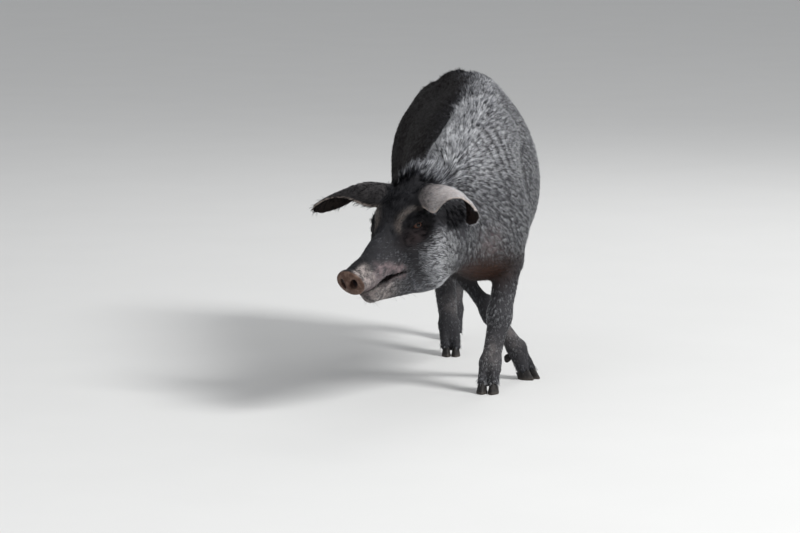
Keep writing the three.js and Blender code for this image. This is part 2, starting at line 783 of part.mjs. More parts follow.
function nostrilCutter(side) {
  const g = new THREE.CylinderGeometry(nostril.radius, nostril.radius * 0.7, nostril.depth, 12);
  g.rotateZ(-Math.PI / 2);
  g.scale(1, nostril.stretch, 1);
  g.rotateX(degrees(-18 * side));
  g.translate(disc.thick, side * nostril.side, nostril.rise);
  return solidOf(g.applyMatrix4(discFrame()));
}

const minus = (a, b) => a.subtract(b);
const parts = new Map(); // node name to geometry or solid

const allLegs = Object.entries(legs);
const cutters = Object.fromEntries(
  allLegs.map(([name, leg]) => [name, solidOf(outward(loft(legRings(leg, cutGap, false))))]),
);

// Trunk, without its legs and neck
let trunk = solidOf(facets(flesh, [-260, -200, 150], [280, 900, 760], cell.trunk));
for (const [name] of allLegs) trunk = minus(trunk, cutters[name]);
trunk = minus(trunk, beyond(neckCut.at, neckCut.normal));
const tailShape = tailGeometry();
trunk = minus(trunk, solidOf(grown(tailShape, cutGap)));
parts.set("trunk", trunk);
parts.set("tail", tailShape);

// Head side of the body
const headBack = fromHead([-headCut.behind, 0, 0]);
const lean = degrees(headCut.lean);
const headWay = new THREE.Vector3(Math.cos(lean), 0, Math.sin(lean)).transformDirection(headFrame).toArray();
const headBox = around([fromHead([-60, 0, 0]), fromHead([head.length, 0, 0])], 150);

let neck = solidOf(facets(flesh, [-330, -330, 220], [240, 220, 720], cell.neck));
neck = minus(minus(neck, behind(neckCut.at, neckCut.normal)), beyond(headBack, headWay));
for (const [name, leg] of allLegs) if (leg.fore) neck = minus(neck, cutters[name]);
parts.set("neck", neck);

let skullSolid = minus(solidOf(facets(flesh, ...headBox, cell.head)), behind(headBack, headWay));
for (const side of [1, -1]) {
  const name = side > 0 ? "left" : "right";
  const leaf = earGeometry(side);
  skullSolid = minus(skullSolid, solidOf(grown(leaf, 3 * cutGap)));
  skullSolid = minus(skullSolid, solidOf(eyeGeometry(side, cutGap)));
  skullSolid = minus(skullSolid, nostrilCutter(side));
  parts.set(`${name}_ear`, minus(solidOf(leaf), skullSolid));
  parts.set(`${name}_eye`, eyeGeometry(side));
}
const discWay = new THREE.Vector3(1, 0, 0).transformDirection(discFrame()).toArray();
const discBack = new THREE.Vector3(-cutGap / 2, 0, 0).applyMatrix4(discFrame()).toArray();
skullSolid = minus(minus(skullSolid, mouthCutter()), beyond(discBack, discWay));
parts.set("head", skullSolid);
parts.set("snout_disc", minus(minus(solidOf(discGeometry()), nostrilCutter(1)), nostrilCutter(-1)));

// Legs and claws
for (const [name, leg] of allLegs) {
  let limb = solidOf(outward(loft(legRings(leg, 0, true))));
  const frame = footFrame(leg);
  const slope = Math.atan2(claw.front - claw.back, claw.length);
  const down = new THREE.Vector3(Math.sin(slope), 0, -Math.cos(slope)).transformDirection(frame).toArray();
  const scale = leg.fore ? 1 : hindScale;
  const middle = new THREE.Vector3(0, 0, coronetHeight(0) * scale).applyMatrix4(frame).toArray();
  limb = minus(limb, beyond(middle, down));
  for (const side of [1, -1]) {
    const tag = side > 0 ? "left" : "right";
    const spur = dewclawGeometry(leg, side);
    limb = minus(limb, solidOf(grown(spur, cutGap)));
    parts.set(`${name}_${tag}_claw`, clawGeometry(leg, side));
    parts.set(`${name}_${tag}_dewclaw`, spur);
  }
  parts.set(name, limb);
}

// ---------------------------------------------------------------- materials and assembly
const finishes = {
  hide: new THREE.MeshStandardMaterial({ color: 0x2c2b2e, roughness: 0.75, metalness: 0 }),
  hoof: new THREE.MeshStandardMaterial({ color: 0x26241f, roughness: 0.5, metalness: 0 }),
  eye: new THREE.MeshStandardMaterial({ color: 0x1c0f08, roughness: 0.15, metalness: 0 }),
};
function finishOf(name) {
  if (name.endsWith("claw")) return finishes.hoof;
  return name.endsWith("eye") ? finishes.eye : finishes.hide;
}

const pig = new THREE.Group();
for (const [name, shape] of parts) {
  const geometry = shape.isBufferGeometry ? shape : mainShell(geometryOf(shape));
  const mesh = new THREE.Mesh(geometry, finishOf(name));
  mesh.name = name;
  pig.add(mesh);
}
const box = new THREE.Box3().setFromObject(pig);
const centre = box.getCenter(new THREE.Vector3());
for (const mesh of pig.children) mesh.position.set(-centre.x, -centre.y, -box.min.z);

export default pig;
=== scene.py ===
import json
import math
import time

import bmesh
import bpy
import numpy as np
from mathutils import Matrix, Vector

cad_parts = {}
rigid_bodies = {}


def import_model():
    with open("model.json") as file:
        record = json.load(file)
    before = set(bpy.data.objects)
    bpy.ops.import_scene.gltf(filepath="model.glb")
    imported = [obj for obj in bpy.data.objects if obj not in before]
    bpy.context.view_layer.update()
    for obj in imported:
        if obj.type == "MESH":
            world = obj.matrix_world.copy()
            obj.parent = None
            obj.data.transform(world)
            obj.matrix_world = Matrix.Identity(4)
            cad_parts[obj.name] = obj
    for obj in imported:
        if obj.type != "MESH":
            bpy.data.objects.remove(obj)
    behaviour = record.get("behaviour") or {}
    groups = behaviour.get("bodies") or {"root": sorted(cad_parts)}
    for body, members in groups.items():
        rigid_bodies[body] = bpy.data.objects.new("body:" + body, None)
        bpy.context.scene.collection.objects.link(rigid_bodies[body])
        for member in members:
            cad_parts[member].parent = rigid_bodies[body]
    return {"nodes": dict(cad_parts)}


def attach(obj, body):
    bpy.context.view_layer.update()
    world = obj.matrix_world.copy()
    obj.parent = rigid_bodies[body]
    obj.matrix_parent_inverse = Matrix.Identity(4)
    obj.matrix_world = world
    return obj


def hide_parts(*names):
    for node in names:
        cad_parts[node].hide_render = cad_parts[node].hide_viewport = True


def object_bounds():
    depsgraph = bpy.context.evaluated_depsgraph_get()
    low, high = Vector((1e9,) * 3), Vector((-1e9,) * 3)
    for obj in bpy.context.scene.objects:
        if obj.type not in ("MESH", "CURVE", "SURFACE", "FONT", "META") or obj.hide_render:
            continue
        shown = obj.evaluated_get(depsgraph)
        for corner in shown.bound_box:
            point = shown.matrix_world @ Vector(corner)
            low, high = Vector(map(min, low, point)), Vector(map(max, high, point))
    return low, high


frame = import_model()
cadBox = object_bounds()
nodes = frame["nodes"]

# Body forms, in millimetres, in the pig's own frame
barrel = [  # ellipsoids: centre, radii, yaw, lean
    ((28, 95, 442), (98, 200, 196), 0, 0),
    ((27, 310, 460), (149, 235, 226), 0, 0),
    ((25, 420, 434), (158, 232, 190), -4, 0),
    ((-3, 540, 486), (134, 225, 172), -12, 0),
    ((-44, 675, 470), (124, 170, 172), -18, 0),
]
spine = [
    ((34, 40, 590), 46),
    ((34, 200, 626), 40),
    ((20, 380, 652), 40),
    ((-12, 560, 646), 40),
    ((-52, 720, 596), 42),
    ((-84, 800, 520), 44),
]
neckCrest = [((36, 60, 572), 74), ((-22, -50, 530), 74)]
neckThroat = [((24, 20, 396), 114), ((-56, -95, 392), 98)]

headPose = {"length": 322, "snoutAt": (-262, -352, 303), "yaw": 37, "pitch": 22, "roll": 2}
skull = [  # in the head's frame: x to the snout, y left, z up
    ((56, 0, 44), (84, 62, 58)),
    ((4, 0, 56), (62, 58, 64)),
    ((50, 0, -88), (92, 62, 56)),
]
skullPairs = [
    ((70, 42, -38), (80, 40, 70)),
    ((116, 40, 16), (50, 24, 30)),
    ((104, 34, 56), (38, 24, 23)),
    ((222, 16, -20), (80, 24, 24)),
    ((162, 19, -36), (60, 26, 34)),
]
skullCones = [
    ((80, 0, 40), (205, 0, 4), 50, 33),
    ((200, 0, 2), (302, 0, -2), 34, 29),
    ((70, 0, -98), (262, 0, -56), 52, 23),
]
disc = {"halfWidth": 37, "halfHeight": 31.5, "thick": 15, "tilt": 8, "edge": 6}
nostril = {"side": 14, "rise": 2, "radius": 7.6, "stretch": 1.35, "depth": 24, "turn": -18}
eye = {"at": (118, 54, 39), "radius": 13, "out": (0.42, 0.86, 0.26), "along": (1, 0, 0.14)}
lips = [  # rolls of flesh beside the mouth: ends and size
    ((184, 36, -59), (270, 17, -51), 9),
    ((180, 38, -35), (270, 22, -25), 10),
    ((172, 38, -12), (244, 31, -6), 10),
    ((166, 36, -78), (222, 24, -70), 8),
]
lids = {"thick": 2.2, "halfWidth": 12.8, "halfHeight": 5.2}
lidArc = (lids["halfWidth"] ** 2 + lids["halfHeight"] ** 2) / (2 * lids["halfHeight"])  # a lid's edge
mouth = {"corner": (178, -47), "middle": (240, -38), "front": (290, -43), "open": 18, "depth": 17}

legs = {
    "left_foreleg": {
        "fore": True,
        "upper": ((84, 45, 415), (38, 108, 134), 14),
        "joints": [((86, 20, 395), 43), ((99, 66, 300), 35), ((77, 30, 172), 28), ((56, 8, 70), 25)],
        "foot": (50, -6, 0),
        "toe": (-0.15, -1),
    },
    "right_foreleg": {
        "fore": True,
        "upper": ((-26, 55, 410), (46, 108, 130), 14),
        "joints": [
            ((-34, 50, 385), 43),
            ((-39, 118, 298), 35),
            ((8, 142, 234), 19),
            ((55, 154, 168), 19),
            ((121, 178, 74), 23),
        ],
        "foot": (146, 188, 0),
        "toe": (0.75, -0.66),
    },
    "right_hindleg": {
        "fore": False,
        "upper": ((-102, 650, 425), (68, 132, 160), -14),
        "joints": [
            ((-104, 610, 378), 58),
            ((-80, 566, 308), 52),
            ((-45, 640, 200), 30),
            ((-31, 540, 74), 24),
        ],
        "foot": (-27, 512, 0),
        "toe": (0, -1),
    },
    "left_hindleg": {
        "fore": False,
        "upper": ((22, 690, 425), (66, 132, 160), -14),
        "joints": [
            ((38, 662, 388), 58),
            ((30, 696, 306), 52),
            ((-8, 822, 200), 30),
            ((-18, 786, 74), 24),
        ],
        "foot": (-22, 758, 0),
        "toe": (-0.05, -1),
    },
}
claw = {"side": 13.5, "length": 44, "width": 25, "front": 27, "back": 13, "taper": 0.8, "slope": 10}
hindScale = 0.87
coatDepth = {"trunk": 6.5, "head": 3.5, "leg": 3.0, "ear": 0.25, "bare": 0.5}
ear = {"thick": 6, "rim": 3, "faceRoot": (0.15, 0, 1), "t": (0, 0.3, 0.6, 0.82, 0.94, 1)}
ears = {  # 1 is the pig's left
    1: {
        "root": (50, 46, 89),
        "tip": (103, 221, 67),
        "rise": 7,
        "faceTip": (-1, 0, 0.1),
        "turn": (0.28, 0.9),
        "chord": (56, 74, 82, 68, 50, 22),
        "deep": (26, 33, 39, 19, 9, 3),
    },
    -1: {
        "root": (50, -46, 80),
        "tip": (136, -212, 74),
        "rise": 18,
        "faceTip": (-0.8, 0, 0.65),
        "turn": (0.1, 0.8),
        "chord": (60, 72, 54, 54, 46, 18),
        "deep": (28, 36, 22, 12, 8, 3),
    },
}
tailPath = [
    (-88, 800, 560),
    (-104, 846, 566),
    (-116, 872, 520),
    (-112, 870, 440),
    (-126, 858, 372),
    (-122, 862, 330),
]
tailRadius = (17, 5)
dewclaw = {"side": 16, "behind": 25, "height": 48, "radius": 8, "length": 22}
dewclaw |= {"lean": 24, "sides": 24, "levels": 14}


def unit(v):
    v = np.asarray(v, float)
    return v / np.linalg.norm(v)


def turned(yaw, lean):  # matrix that first leans about x and then yaws about z
    y, x = math.radians(yaw), math.radians(lean)
    about = np.array([[1, 0, 0], [0, math.cos(x), -math.sin(x)], [0, math.sin(x), math.cos(x)]])
    return np.array([[math.cos(y), -math.sin(y), 0], [math.sin(y), math.cos(y), 0], [0, 0, 1]]) @ about


def headAxes():
    y, p, r = (math.radians(headPose[k]) for k in ("yaw", "pitch", "roll"))
    forward = np.array([-math.sin(y) * math.cos(p), -math.cos(y) * math.cos(p), -math.sin(p)])
    left = np.array([math.cos(y), -math.sin(y), 0])
    left = left * math.cos(r) + np.cross(forward, left) * math.sin(r)
    up = np.cross(forward, left)
    return np.array(headPose["snoutAt"]) - headPose["length"] * forward, np.stack([forward, left, up])


headOrigin, headRows = headAxes()


def toHead(p):
    return (p - headOrigin) @ headRows.T


def fromHead(q):
    return np.asarray(q, float) @ headRows + headOrigin


def nodePoints(name):
    mesh = nodes[name].data
    co = np.zeros(len(mesh.vertices) * 3)
    mesh.vertices.foreach_get("co", co)
    return co.reshape(-1, 3)


eyeBox = nodePoints("left_eye")
rowShift = (eyeBox.min(0) + eyeBox.max(0)) * 500 - fromHead(eye["at"])  # pig's frame to row frame


def toRow(p):
    return (np.asarray(p, float) + rowShift) / 1000


def toPig(p):
    return np.asarray(p, float) * 1000 - rowShift


# Distance fields over arrays of points
def smoothUnion(a, b, k):
    h = np.maximum(k - np.abs(a - b), 0) / k
    return np.minimum(a, b) - h * h * k / 4


def smoothCut(a, b, k):
    return -smoothUnion(-a, b, k)


def ellipsoid(at, radii, yaw=0, lean=0):
    at, radii, turn = np.array(at, float), np.array(radii, float), turned(yaw, lean)

    def field(p):
        q = (p - at) @ turn
        k0 = np.sqrt(((q / radii) ** 2).sum(1))
        k1 = np.sqrt(((q / radii**2) ** 2).sum(1)) + 1e-9
        return k0 * (k0 - 1) / k1

    return field


def roundCone(a, b, r1, r2):
    a, b = np.array(a, float), np.array(b, float)
    axis = b - a
    reach = axis @ axis
    taper = r1 - r2
    side = reach - taper * taper

    def field(p):
        off = p - a
        y = off @ axis
        z = y - reach
        x2 = ((off * reach - axis * y[:, None]) ** 2).sum(1)
        y2, z2 = y * y * reach, z * z * reach
        k = np.sign(taper) * taper * taper * x2
        d = (np.sqrt(x2 * side / reach) + y * taper) / reach - r1
        d = np.where(np.sign(y) * side * y2 < k, np.sqrt(x2 + y2) / reach - r1, d)
        return np.where(np.sign(z) * side * z2 > k, np.sqrt(x2 + z2) / reach - r2, d)

    return field


def blended(fields, k):
    def field(p):
        d = fields[0](p)
        for f in fields[1:]:
            d = smoothUnion(d, f(p), k)
        return d

    return field


def chain(joints, k):
    pairs = zip(joints, joints[1:])
    return blended([roundCone(a, b, ra, rb) for (a, ra), (b, rb) in pairs], k)


def ramp(x, low, high):  # 0 below low, 1 above high, smooth between
    t = np.clip((x - low) / (high - low), 0, 1)
    return t * t * (3 - 2 * t)


def bell(x):
    return np.exp(-(x**2))


# Head
def flip(at, side):
    return (at[0], at[1] * side, at[2])


headForms = [ellipsoid(at, r) for at, r in skull]
for side in (1, -1):
    headForms += [ellipsoid(flip(at, side), r) for at, r in skullPairs]
headForms += [roundCone(*c) for c in skullCones]
headBulk = blended(headForms, 20)


def discCoords(q):
    t = math.radians(disc["tilt"])
    x, z = q[:, 0] - (headPose["length"] - disc["thick"]), q[:, 2]
    return x * math.cos(t) - z * math.sin(t), q[:, 1], x * math.sin(t) + z * math.cos(t)


def discField(q):
    x, y, z = discCoords(q)
    wide, high = disc["halfWidth"], disc["halfHeight"]
    ring = (np.sqrt((y / wide) ** 2 + (z / high) ** 2) - 1) * high
    front = disc["thick"] - 0.0009 * (y * y + z * z)
    dx = np.maximum(x - front, -2 - x) + disc["edge"]
    dr = ring + disc["edge"]
    outside = np.hypot(np.maximum(dx, 0), np.maximum(dr, 0))
    return outside + np.minimum(np.maximum(dx, dr), 0) - disc["edge"]


def eyeAxes(side):  # along the slit, up and outwards
    out = unit(flip(eye["out"], side))
    forward = np.array(eye["along"], float)
    forward = unit(forward - (forward @ out) * out)
    return forward, np.cross(forward, out) * side, out


def eyeCoords(q, side):
    d = q - np.array(flip(eye["at"], side))
    return tuple(d @ axis for axis in eyeAxes(side))


def browRing(t, u, w):  # distance from the fold that runs before and above the eye, and where it lies
    ring = np.hypot(t / 1.18, u) - 35
    turn = np.arctan2(u, t / 1.18)
    arc = ramp(turn, -0.3, 0.35) * (1 - ramp(turn, 1.5, 2.5)) * (w > -30)
    return ring, arc


def nostrilField(q, side):
    x, y, z = discCoords(q)
    turn = math.radians(nostril["turn"] * side)
    y, z = y - nostril["side"] * side, z - nostril["rise"]
    u = y * math.cos(turn) + z * math.sin(turn)
    v = -y * math.sin(turn) + z * math.cos(turn)
    deep = disc["thick"] - x
    r = nostril["radius"] * (1 - 0.25 * np.clip(deep / nostril["depth"], 0, 1))
    tube = np.sqrt(u**2 + (v / nostril["stretch"]) ** 2) - r
    return np.maximum(tube, deep - nostril["depth"])


def mouthLine(x):
    (cx, cz), (mx, mz), (fx, fz) = mouth["corner"], mouth["middle"], mouth["front"]
    t = np.clip((x - cx) / (fx - cx), 0, 1.6)
    bend = mz - (cz + (fz - cz) * (mx - cx) / (fx - cx))
    return cz + (fz - cz) * t + 4 * bend * t * (1 - t) * (t < 1)


def mouthField(q, bulk):
    x = q[:, 0]
    cx, fx = mouth["corner"][0], mouth["front"][0]
    t = np.clip((x - cx) / (fx - cx), 0, 1)
    gap = 0.9 + mouth["open"] / 2 * ramp(t, 0.15, 0.6) * (1 - 0.45 * ramp(t, 0.88, 1))
    slit = np.abs(q[:, 2] - mouthLine(x)) - gap
    slit = np.maximum(slit, cx - x)
    return np.maximum(slit, -(bulk + mouth["depth"]))


def tongueField(q):  # fills the middle of the mouth, so that no light comes through
    x = np.clip(q[:, 0], 188, 258)
    return np.sqrt((q[:, 0] - x) ** 2 + (q[:, 1] / 2) ** 2 + (q[:, 2] - mouthLine(x) + 1) ** 2) - 9.5


def headField(p, detail):
    q = toHead(p)
    bulk = headBulk(q)
    d = bulk
    if detail:
        for side in (1, -1):
            for a, b, r in lips:
                d = smoothUnion(d, roundCone(flip(a, side), flip(b, side), r, r * 0.85)(q), 7)
    plate = discField(q)
    d = smoothUnion(d, plate, 7)
    if not detail:
        return d
    for side in (1, -1):
        t, u, w = eyeCoords(q, side)
        ball = np.sqrt(t * t + u * u + w * w) - eye["radius"] - lids["thick"]
        d = smoothUnion(d, ball, 8)
        rho = np.hypot(t / 1.3, u)
        for at, radii in (((-5, -18, 5), (23, 10, 10)), ((-9, -33, 1), (22, 8, 8))):
            pouch = np.sqrt(sum(((a - b) / r) ** 2 for a, b, r in zip((t, u, w), at, radii)))
            d = smoothUnion(d, (pouch - 1) * radii[1], 6)
        turn = np.arctan2(u, t)
        warp = 1.6 * np.sin(3 * turn + 0.7) + 1.1 * np.sin(5 * turn + q[:, 2] / 9)
        window = ramp(rho, 8, 12) * (1 - ramp(rho, 20, 30)) * (w > -20)
        above = 0.45 + 0.55 * ramp(u / (rho + 1e-6), -0.2, 0.6)
        d = d + 1.1 * window * above * np.cos((rho + warp - 11.5) * 2 * math.pi / 9.5)
        ring, arc = browRing(t, u, w)
        fold, hollow = bell((ring + 0.6 * warp) / 5.5), bell((ring + 9) / 4)
        d = d - arc * (2.2 * fold - 1.6 * hollow)
        rise = lidArc - lids["halfHeight"]
        lens = np.maximum(np.hypot(t, u + rise), np.hypot(t, u - rise)) - lidArc
        d = smoothCut(d, np.maximum(lens, 3 - w), 2)
        d = smoothCut(d, nostrilField(q, side), 3.5)
    x, _, z = discCoords(q)
    wrinkles = ramp(q[:, 0], 254, 274) * (1 - ramp(x, -6, -1)) * ramp(z, -26, 4)
    bend = 1.5 * np.sin(q[:, 1] / 7 + 1) + 0.9 * np.sin(q[:, 2] / 4.3)
    bend = bend + 0.8 * np.sin(q[:, 0] / 9 + q[:, 1] / 11)
    broken = 0.5 + 0.5 * np.sin(q[:, 1] / 5.3 + q[:, 2] / 3.7) * np.sin(q[:, 2] / 6.1 - q[:, 0] / 5)
    d = d + 0.95 * wrinkles * broken * np.cos(q[:, 0] * 2 * math.pi / 6.2 + 1.7 * bend)
    bridge = ramp(q[:, 0], 120, 200) * (1 - ramp(q[:, 0], 255, 270))
    d = d + 0.5 * bridge * np.cos((q[:, 0] * 0.8 + q[:, 2] * 0.9) * 2 * math.pi / 13 + bend)
    return smoothUnion(smoothCut(d, mouthField(q, bulk), 3), tongueField(q), 2)


# Ears: curved sheets, round outside and hollow within
def earCoords(q, side):
    leaf = ears[side]
    root, tip = np.array(leaf["root"], float), np.array(leaf["tip"], float)
    reach = np.linalg.norm(tip - root)
    out = (tip - root) / reach
    rel = q - root
    t = np.clip(rel @ out / reach, 0, 1)
    over = rel @ out - t * reach
    knots = np.array(ear["t"])
    place = np.clip(np.searchsorted(knots, t, side="left"), 1, len(knots) - 1)
    low, high = knots[place - 1], knots[place]
    mix = ramp(t, low, high) * 0.4 + (t - low) / (high - low) * 0.6
    chord, deep = (np.array(leaf[k]) for k in ("chord", "deep"))
    chord, deep = (v[place - 1] * (1 - mix) + v[place] * mix for v in (chord, deep))
    turn = ramp(t, *leaf["turn"])[:, None]
    face = np.array(ear["faceRoot"]) * (1 - turn) + np.array(leaf["faceTip"]) * turn
    face = face - (face @ out)[:, None] * out
    face /= np.linalg.norm(face, axis=1, keepdims=True)
    across = np.cross(out, face) * side
    radius = chord**2 / (8 * deep) + deep / 2
    half = np.arcsin(np.clip(chord / 2 / radius, -1, 1))
    half = np.where(chord / 2 > deep, half, math.pi - half)
    off = rel - np.outer(t * reach, out) - np.outer(over, out)
    lift = leaf["rise"] * 4 * t * (1 - t) + deep / 2 - radius
    f = (off * face).sum(1) - lift
    a = (off * across).sum(1)
    angle = np.arctan2(a, f)
    x = np.clip(angle / half, -1, 1)
    return t, x, a, f, radius, half, over, out, face, across


def earField(q, side, slim=0.0, least=0.0):
    t, x, a, f, radius, half, over, *_ = earCoords(q, side)
    ruffle = 1.6 * np.sin(9 * t + 2.2 * x) * np.abs(x) ** 2 * ramp(t, 0.1, 0.4)
    flat = np.hypot(a - radius * np.sin(x * half), f - ruffle - radius * np.cos(x * half))
    wall = ear["rim"] + (ear["thick"] * (1 - 0.4 * t) - ear["rim"]) * (1 - x**4)
    wall = np.maximum(wall - slim, least)
    return np.hypot(flat, over) - wall / 2


# Neck, trunk, tail and legs
neckField = blended([chain(neckCrest, 40), chain(neckThroat, 40)], 70)
barrelField = blended([blended([ellipsoid(*b) for b in barrel], 50), chain(spine, 40)], 60)


def smoothPath(path, steps):
    pts = np.array([path[0], *path, path[-1]], float)
    made = []
    for i in range(1, len(pts) - 2):
        a, b, c, d = pts[i - 1 : i + 3]
        square, cube = 2 * a - 5 * b + 4 * c - d, 3 * b - a - 3 * c + d
        for t in np.linspace(0, 1, steps, endpoint=False):
            made.append(0.5 * (2 * b + (c - a) * t + square * t**2 + cube * t**3))
    return np.array(made + [pts[-1]])


tailLine = smoothPath(tailPath, 3)
tailSizes = tailRadius[0] + (tailRadius[1] - tailRadius[0]) * np.linspace(0, 1, len(tailLine)) ** 0.7
tailField = chain([(tuple(p), r) for p, r in zip(tailLine, tailSizes)], 4)


def footAxes(leg):
    x = unit((*leg["toe"], 0))
    y = np.cross((0, 0, 1), x)
    return np.array(leg["foot"], float), np.stack([x, y, (0, 0, 1)])


def fromFoot(leg, at):
    origin, rows = footAxes(leg)
    return np.asarray(at, float) @ rows + origin


def coronetHeight(x):
    t = (x + claw["length"] / 2) / claw["length"]
    return claw["back"] + (claw["front"] - claw["back"]) * t


def makeLeg(leg):
    joints = leg["joints"]
    fetlock, knee, bend = joints[-1][0], joints[-2], joints[1][0]
    side = footAxes(leg)[1][1]
    forms = [chain(joints, 14)]
    for s in (1, -1):
        low = fromFoot(leg, (6, s * claw["side"] * 0.9, 12))
        forms.append(roundCone(np.array(fetlock) + side * 9 * s, low, 20, 15))
    forms.append(roundCone(fetlock, fromFoot(leg, (-13, 0, 14)), 20, 15))
    if leg["fore"]:
        forms.append(ellipsoid(knee[0], (knee[1], knee[1] + 4, 38)))
        forms.append(ellipsoid((bend[0], bend[1] + 10, bend[2] + 22), (34, 54, 82), 0, 16))
    else:
        at = knee[0]
        forms.append(ellipsoid((bend[0], bend[1] + 12, bend[2] + 14), (48, 76, 88), 0, -22))
        point = (at[0], at[1] + 22, at[2] + 16)
        above = tuple(a * 0.6 + b * 0.4 + c for a, b, c in zip(at, bend, (0, 12, 8)))
        forms += [roundCone(point, above, 16, 15), ellipsoid(at, (30, 38, 40))]
    lower = blended(forms, 12)
    at, radii, lean = leg["upper"]
    upper = ellipsoid(at, radii, 0, lean)
    return lambda p: smoothUnion(lower(p), upper(p), 40)


legFields = {name: makeLeg(leg) for name, leg in legs.items()}


def within(p, low, high):
    return np.all((p > low) & (p < high), axis=1)


headCorners = fromHead([[x, y, z] for x in (-130, 400) for y in (-150, 150) for z in (-220, 200)])
headLow, headHigh = headCorners.min(0), headCorners.max(0)
legBoxes = {}
for legName, leg in legs.items():
    reach = np.array([np.array(at) for at, _ in leg["joints"]] + [np.array(leg["foot"])])
    at, radii, _ = (np.array(v, float) for v in leg["upper"])
    low = np.minimum(reach.min(0) - 60, at - 1.1 * radii) - 60
    high = np.maximum(reach.max(0) + 60, at + 1.1 * radii) + 60
    legBoxes[legName] = (low, high)

rng = np.random.default_rng(7)
waveWays = [unit(rng.normal(size=3)) / s for s in (21, 26, 34, 43, 55, 70)]
waveStarts = rng.uniform(0, 6.28, 6)
creases = {  # soft folds: distance between them, height, and where they lie
    "armpit": {
        "at": (30, 30, 330), "reach": (70, 110, 75), "way": (0.45, -0.5, 0.74),
        "pitch": 15, "high": 2.8,
    },
    "throat": {
        "at": (-34, -70, 330), "reach": (70, 70, 60), "way": (-0.5, -0.75, 0.42),
        "pitch": 24, "high": 1.6,
    },
    "nape": {
        "at": (50, -40, 520), "reach": (70, 60, 110), "way": (-0.45, -0.85, -0.25),
        "pitch": 26, "high": 1.3,
    },
    "flank": {
        "at": (70, 560, 350), "reach": (90, 110, 90), "way": (0.2, 0.8, 0.5),
        "pitch": 26, "high": 1.5,
    },
    "elbow": {
        "at": (105, 120, 370), "reach": (60, 70, 80), "way": (0.2, 0.9, -0.35),
        "pitch": 22, "high": 1.5,
    },
}


def folds(p):
    total = np.zeros(len(p))
    for c in creases.values():
        near = ((p - np.array(c["at"])) / np.array(c["reach"])) ** 2
        strength = np.exp(-1.4 * near.sum(1))
        way = unit(c["way"])
        bend = 4 * np.sin(p[:, 2] / 31) + 3 * np.sin(p[:, 0] / 23 + 1)
        total += c["high"] * strength * np.cos((p @ way + bend) * 2 * math.pi / c["pitch"])
    return total


def skinParts(p, detail=True):  # distance before the coat is taken off, and how far a point is head or leg
    near = p[:, 1] > -140
    d = np.full(len(p), 400.0)
    d[near] = barrelField(p[near])
    near = p[:, 1] < 180
    d[near] = smoothUnion(d[near], neckField(p[near]), 70)
    headness, legness = np.zeros(len(p)), np.zeros(len(p))
    near = within(p, headLow, headHigh)
    if near.any():
        face = headField(p[near], detail)
        headness[near] = ramp(d[near] - face, -30, 50)
        d[near] = smoothUnion(d[near], face, 36)
    for name, field in legFields.items():
        near = within(p, *legBoxes[name])
        if not near.any():
            continue
        part = p[near]
        limb = field(part)
        if detail:
            origin, rows = footAxes(legs[name])
            q = (part - origin) @ rows.T
            groove = ellipsoid((22, 0, 22), (15, 3.4, 46))(q)
            limb = smoothCut(limb, groove, 8)
        legness[near] = np.maximum(legness[near], ramp(d[near] - limb, -20, 60))
        d[near] = smoothUnion(d[near], limb, 26)
    return d, headness, legness


def skinField(p, detail=True, least=3.5):  # least is the thinnest wall of an ear
    d, headness, legness = skinParts(p, detail)
    depth = coatDepth["trunk"] + (coatDepth["head"] - coatDepth["trunk"]) * headness
    depth = depth + (coatDepth["leg"] - depth) * legness
    q = toHead(p)
    near = within(p, headLow, headHigh)
    if detail and near.any():
        face = q[near]
        bare = ramp(face[:, 0], 236, 285) * (headness[near] > 0)
        depth[near] += (coatDepth["bare"] - depth[near]) * bare
        for side in (1, -1):
            t, u, w = eyeCoords(face, side)
            depth[near] *= ramp(np.sqrt(t * t + u * u + w * w), 19, 34)
    if detail:
        lumps = sum(np.sin(p @ way + start) for way, start in zip(waveWays, waveStarts))
        d = d + 0.45 * lumps * (1 - 0.8 * headness) - folds(p) * (1 - headness)
    d = d + depth
    for side in (1, -1):
        inner, outer = sorted((-40 * side, 300 * side))
        near = within(q, np.array([-30, inner, -20]), np.array([230, outer, 170]))
        if near.any():
            leaf = earField(q[near], side, 2 * coatDepth["ear"], least)
            d[near] = smoothUnion(d[near], leaf, 16)
    near = p[:, 1] > 700
    if near.any():
        d[near] = smoothUnion(d[near], tailField(p[near]) + 1.5, 22)
    for leg in legs.values():
        origin, rows = footAxes(leg)
        f = (p - origin) @ rows.T
        near = (np.abs(f) < 90).all(1)
        if near.any():
            size = 1 if leg["fore"] else hindScale
            x, z = f[near, 0] / size, f[near, 2] / size
            cut = (coronetHeight(x) - 1.5 - z) * size * 0.95
            d[near] = smoothCut(d[near], -cut, 2.5)
    return d


# Grid mesh of a field's zero level
def sampled(field, low, high, step, block=6):  # values on a grid, true near the surface and rough elsewhere
    count = np.ceil((high - low) / (step * block)).astype(int)
    centres = np.stack(np.meshgrid(*[np.arange(c) for c in count], indexing="ij"), -1).reshape(-1, 3)
    rough = field(low + (centres + 0.5) * step * block)
    values = np.full(count * block + 1, 50.0, np.float32)
    filled = rough.reshape(count).astype(np.float32)
    for axis in range(3):
        filled = filled.repeat(block, axis)
    values[:-1, :-1, :-1] = filled
    busy = centres[np.abs(rough) < step * block * 1.3 + 8] * block
    local = np.stack(np.meshgrid(*[np.arange(block + 1)] * 3, indexing="ij"), -1).reshape(-1, 3)
    for start in range(0, len(busy), 1000):
        index = (busy[start : start + 1000, None] + local).reshape(-1, 3)
        values[tuple(index.T)] = field(low + index * step)
    return values


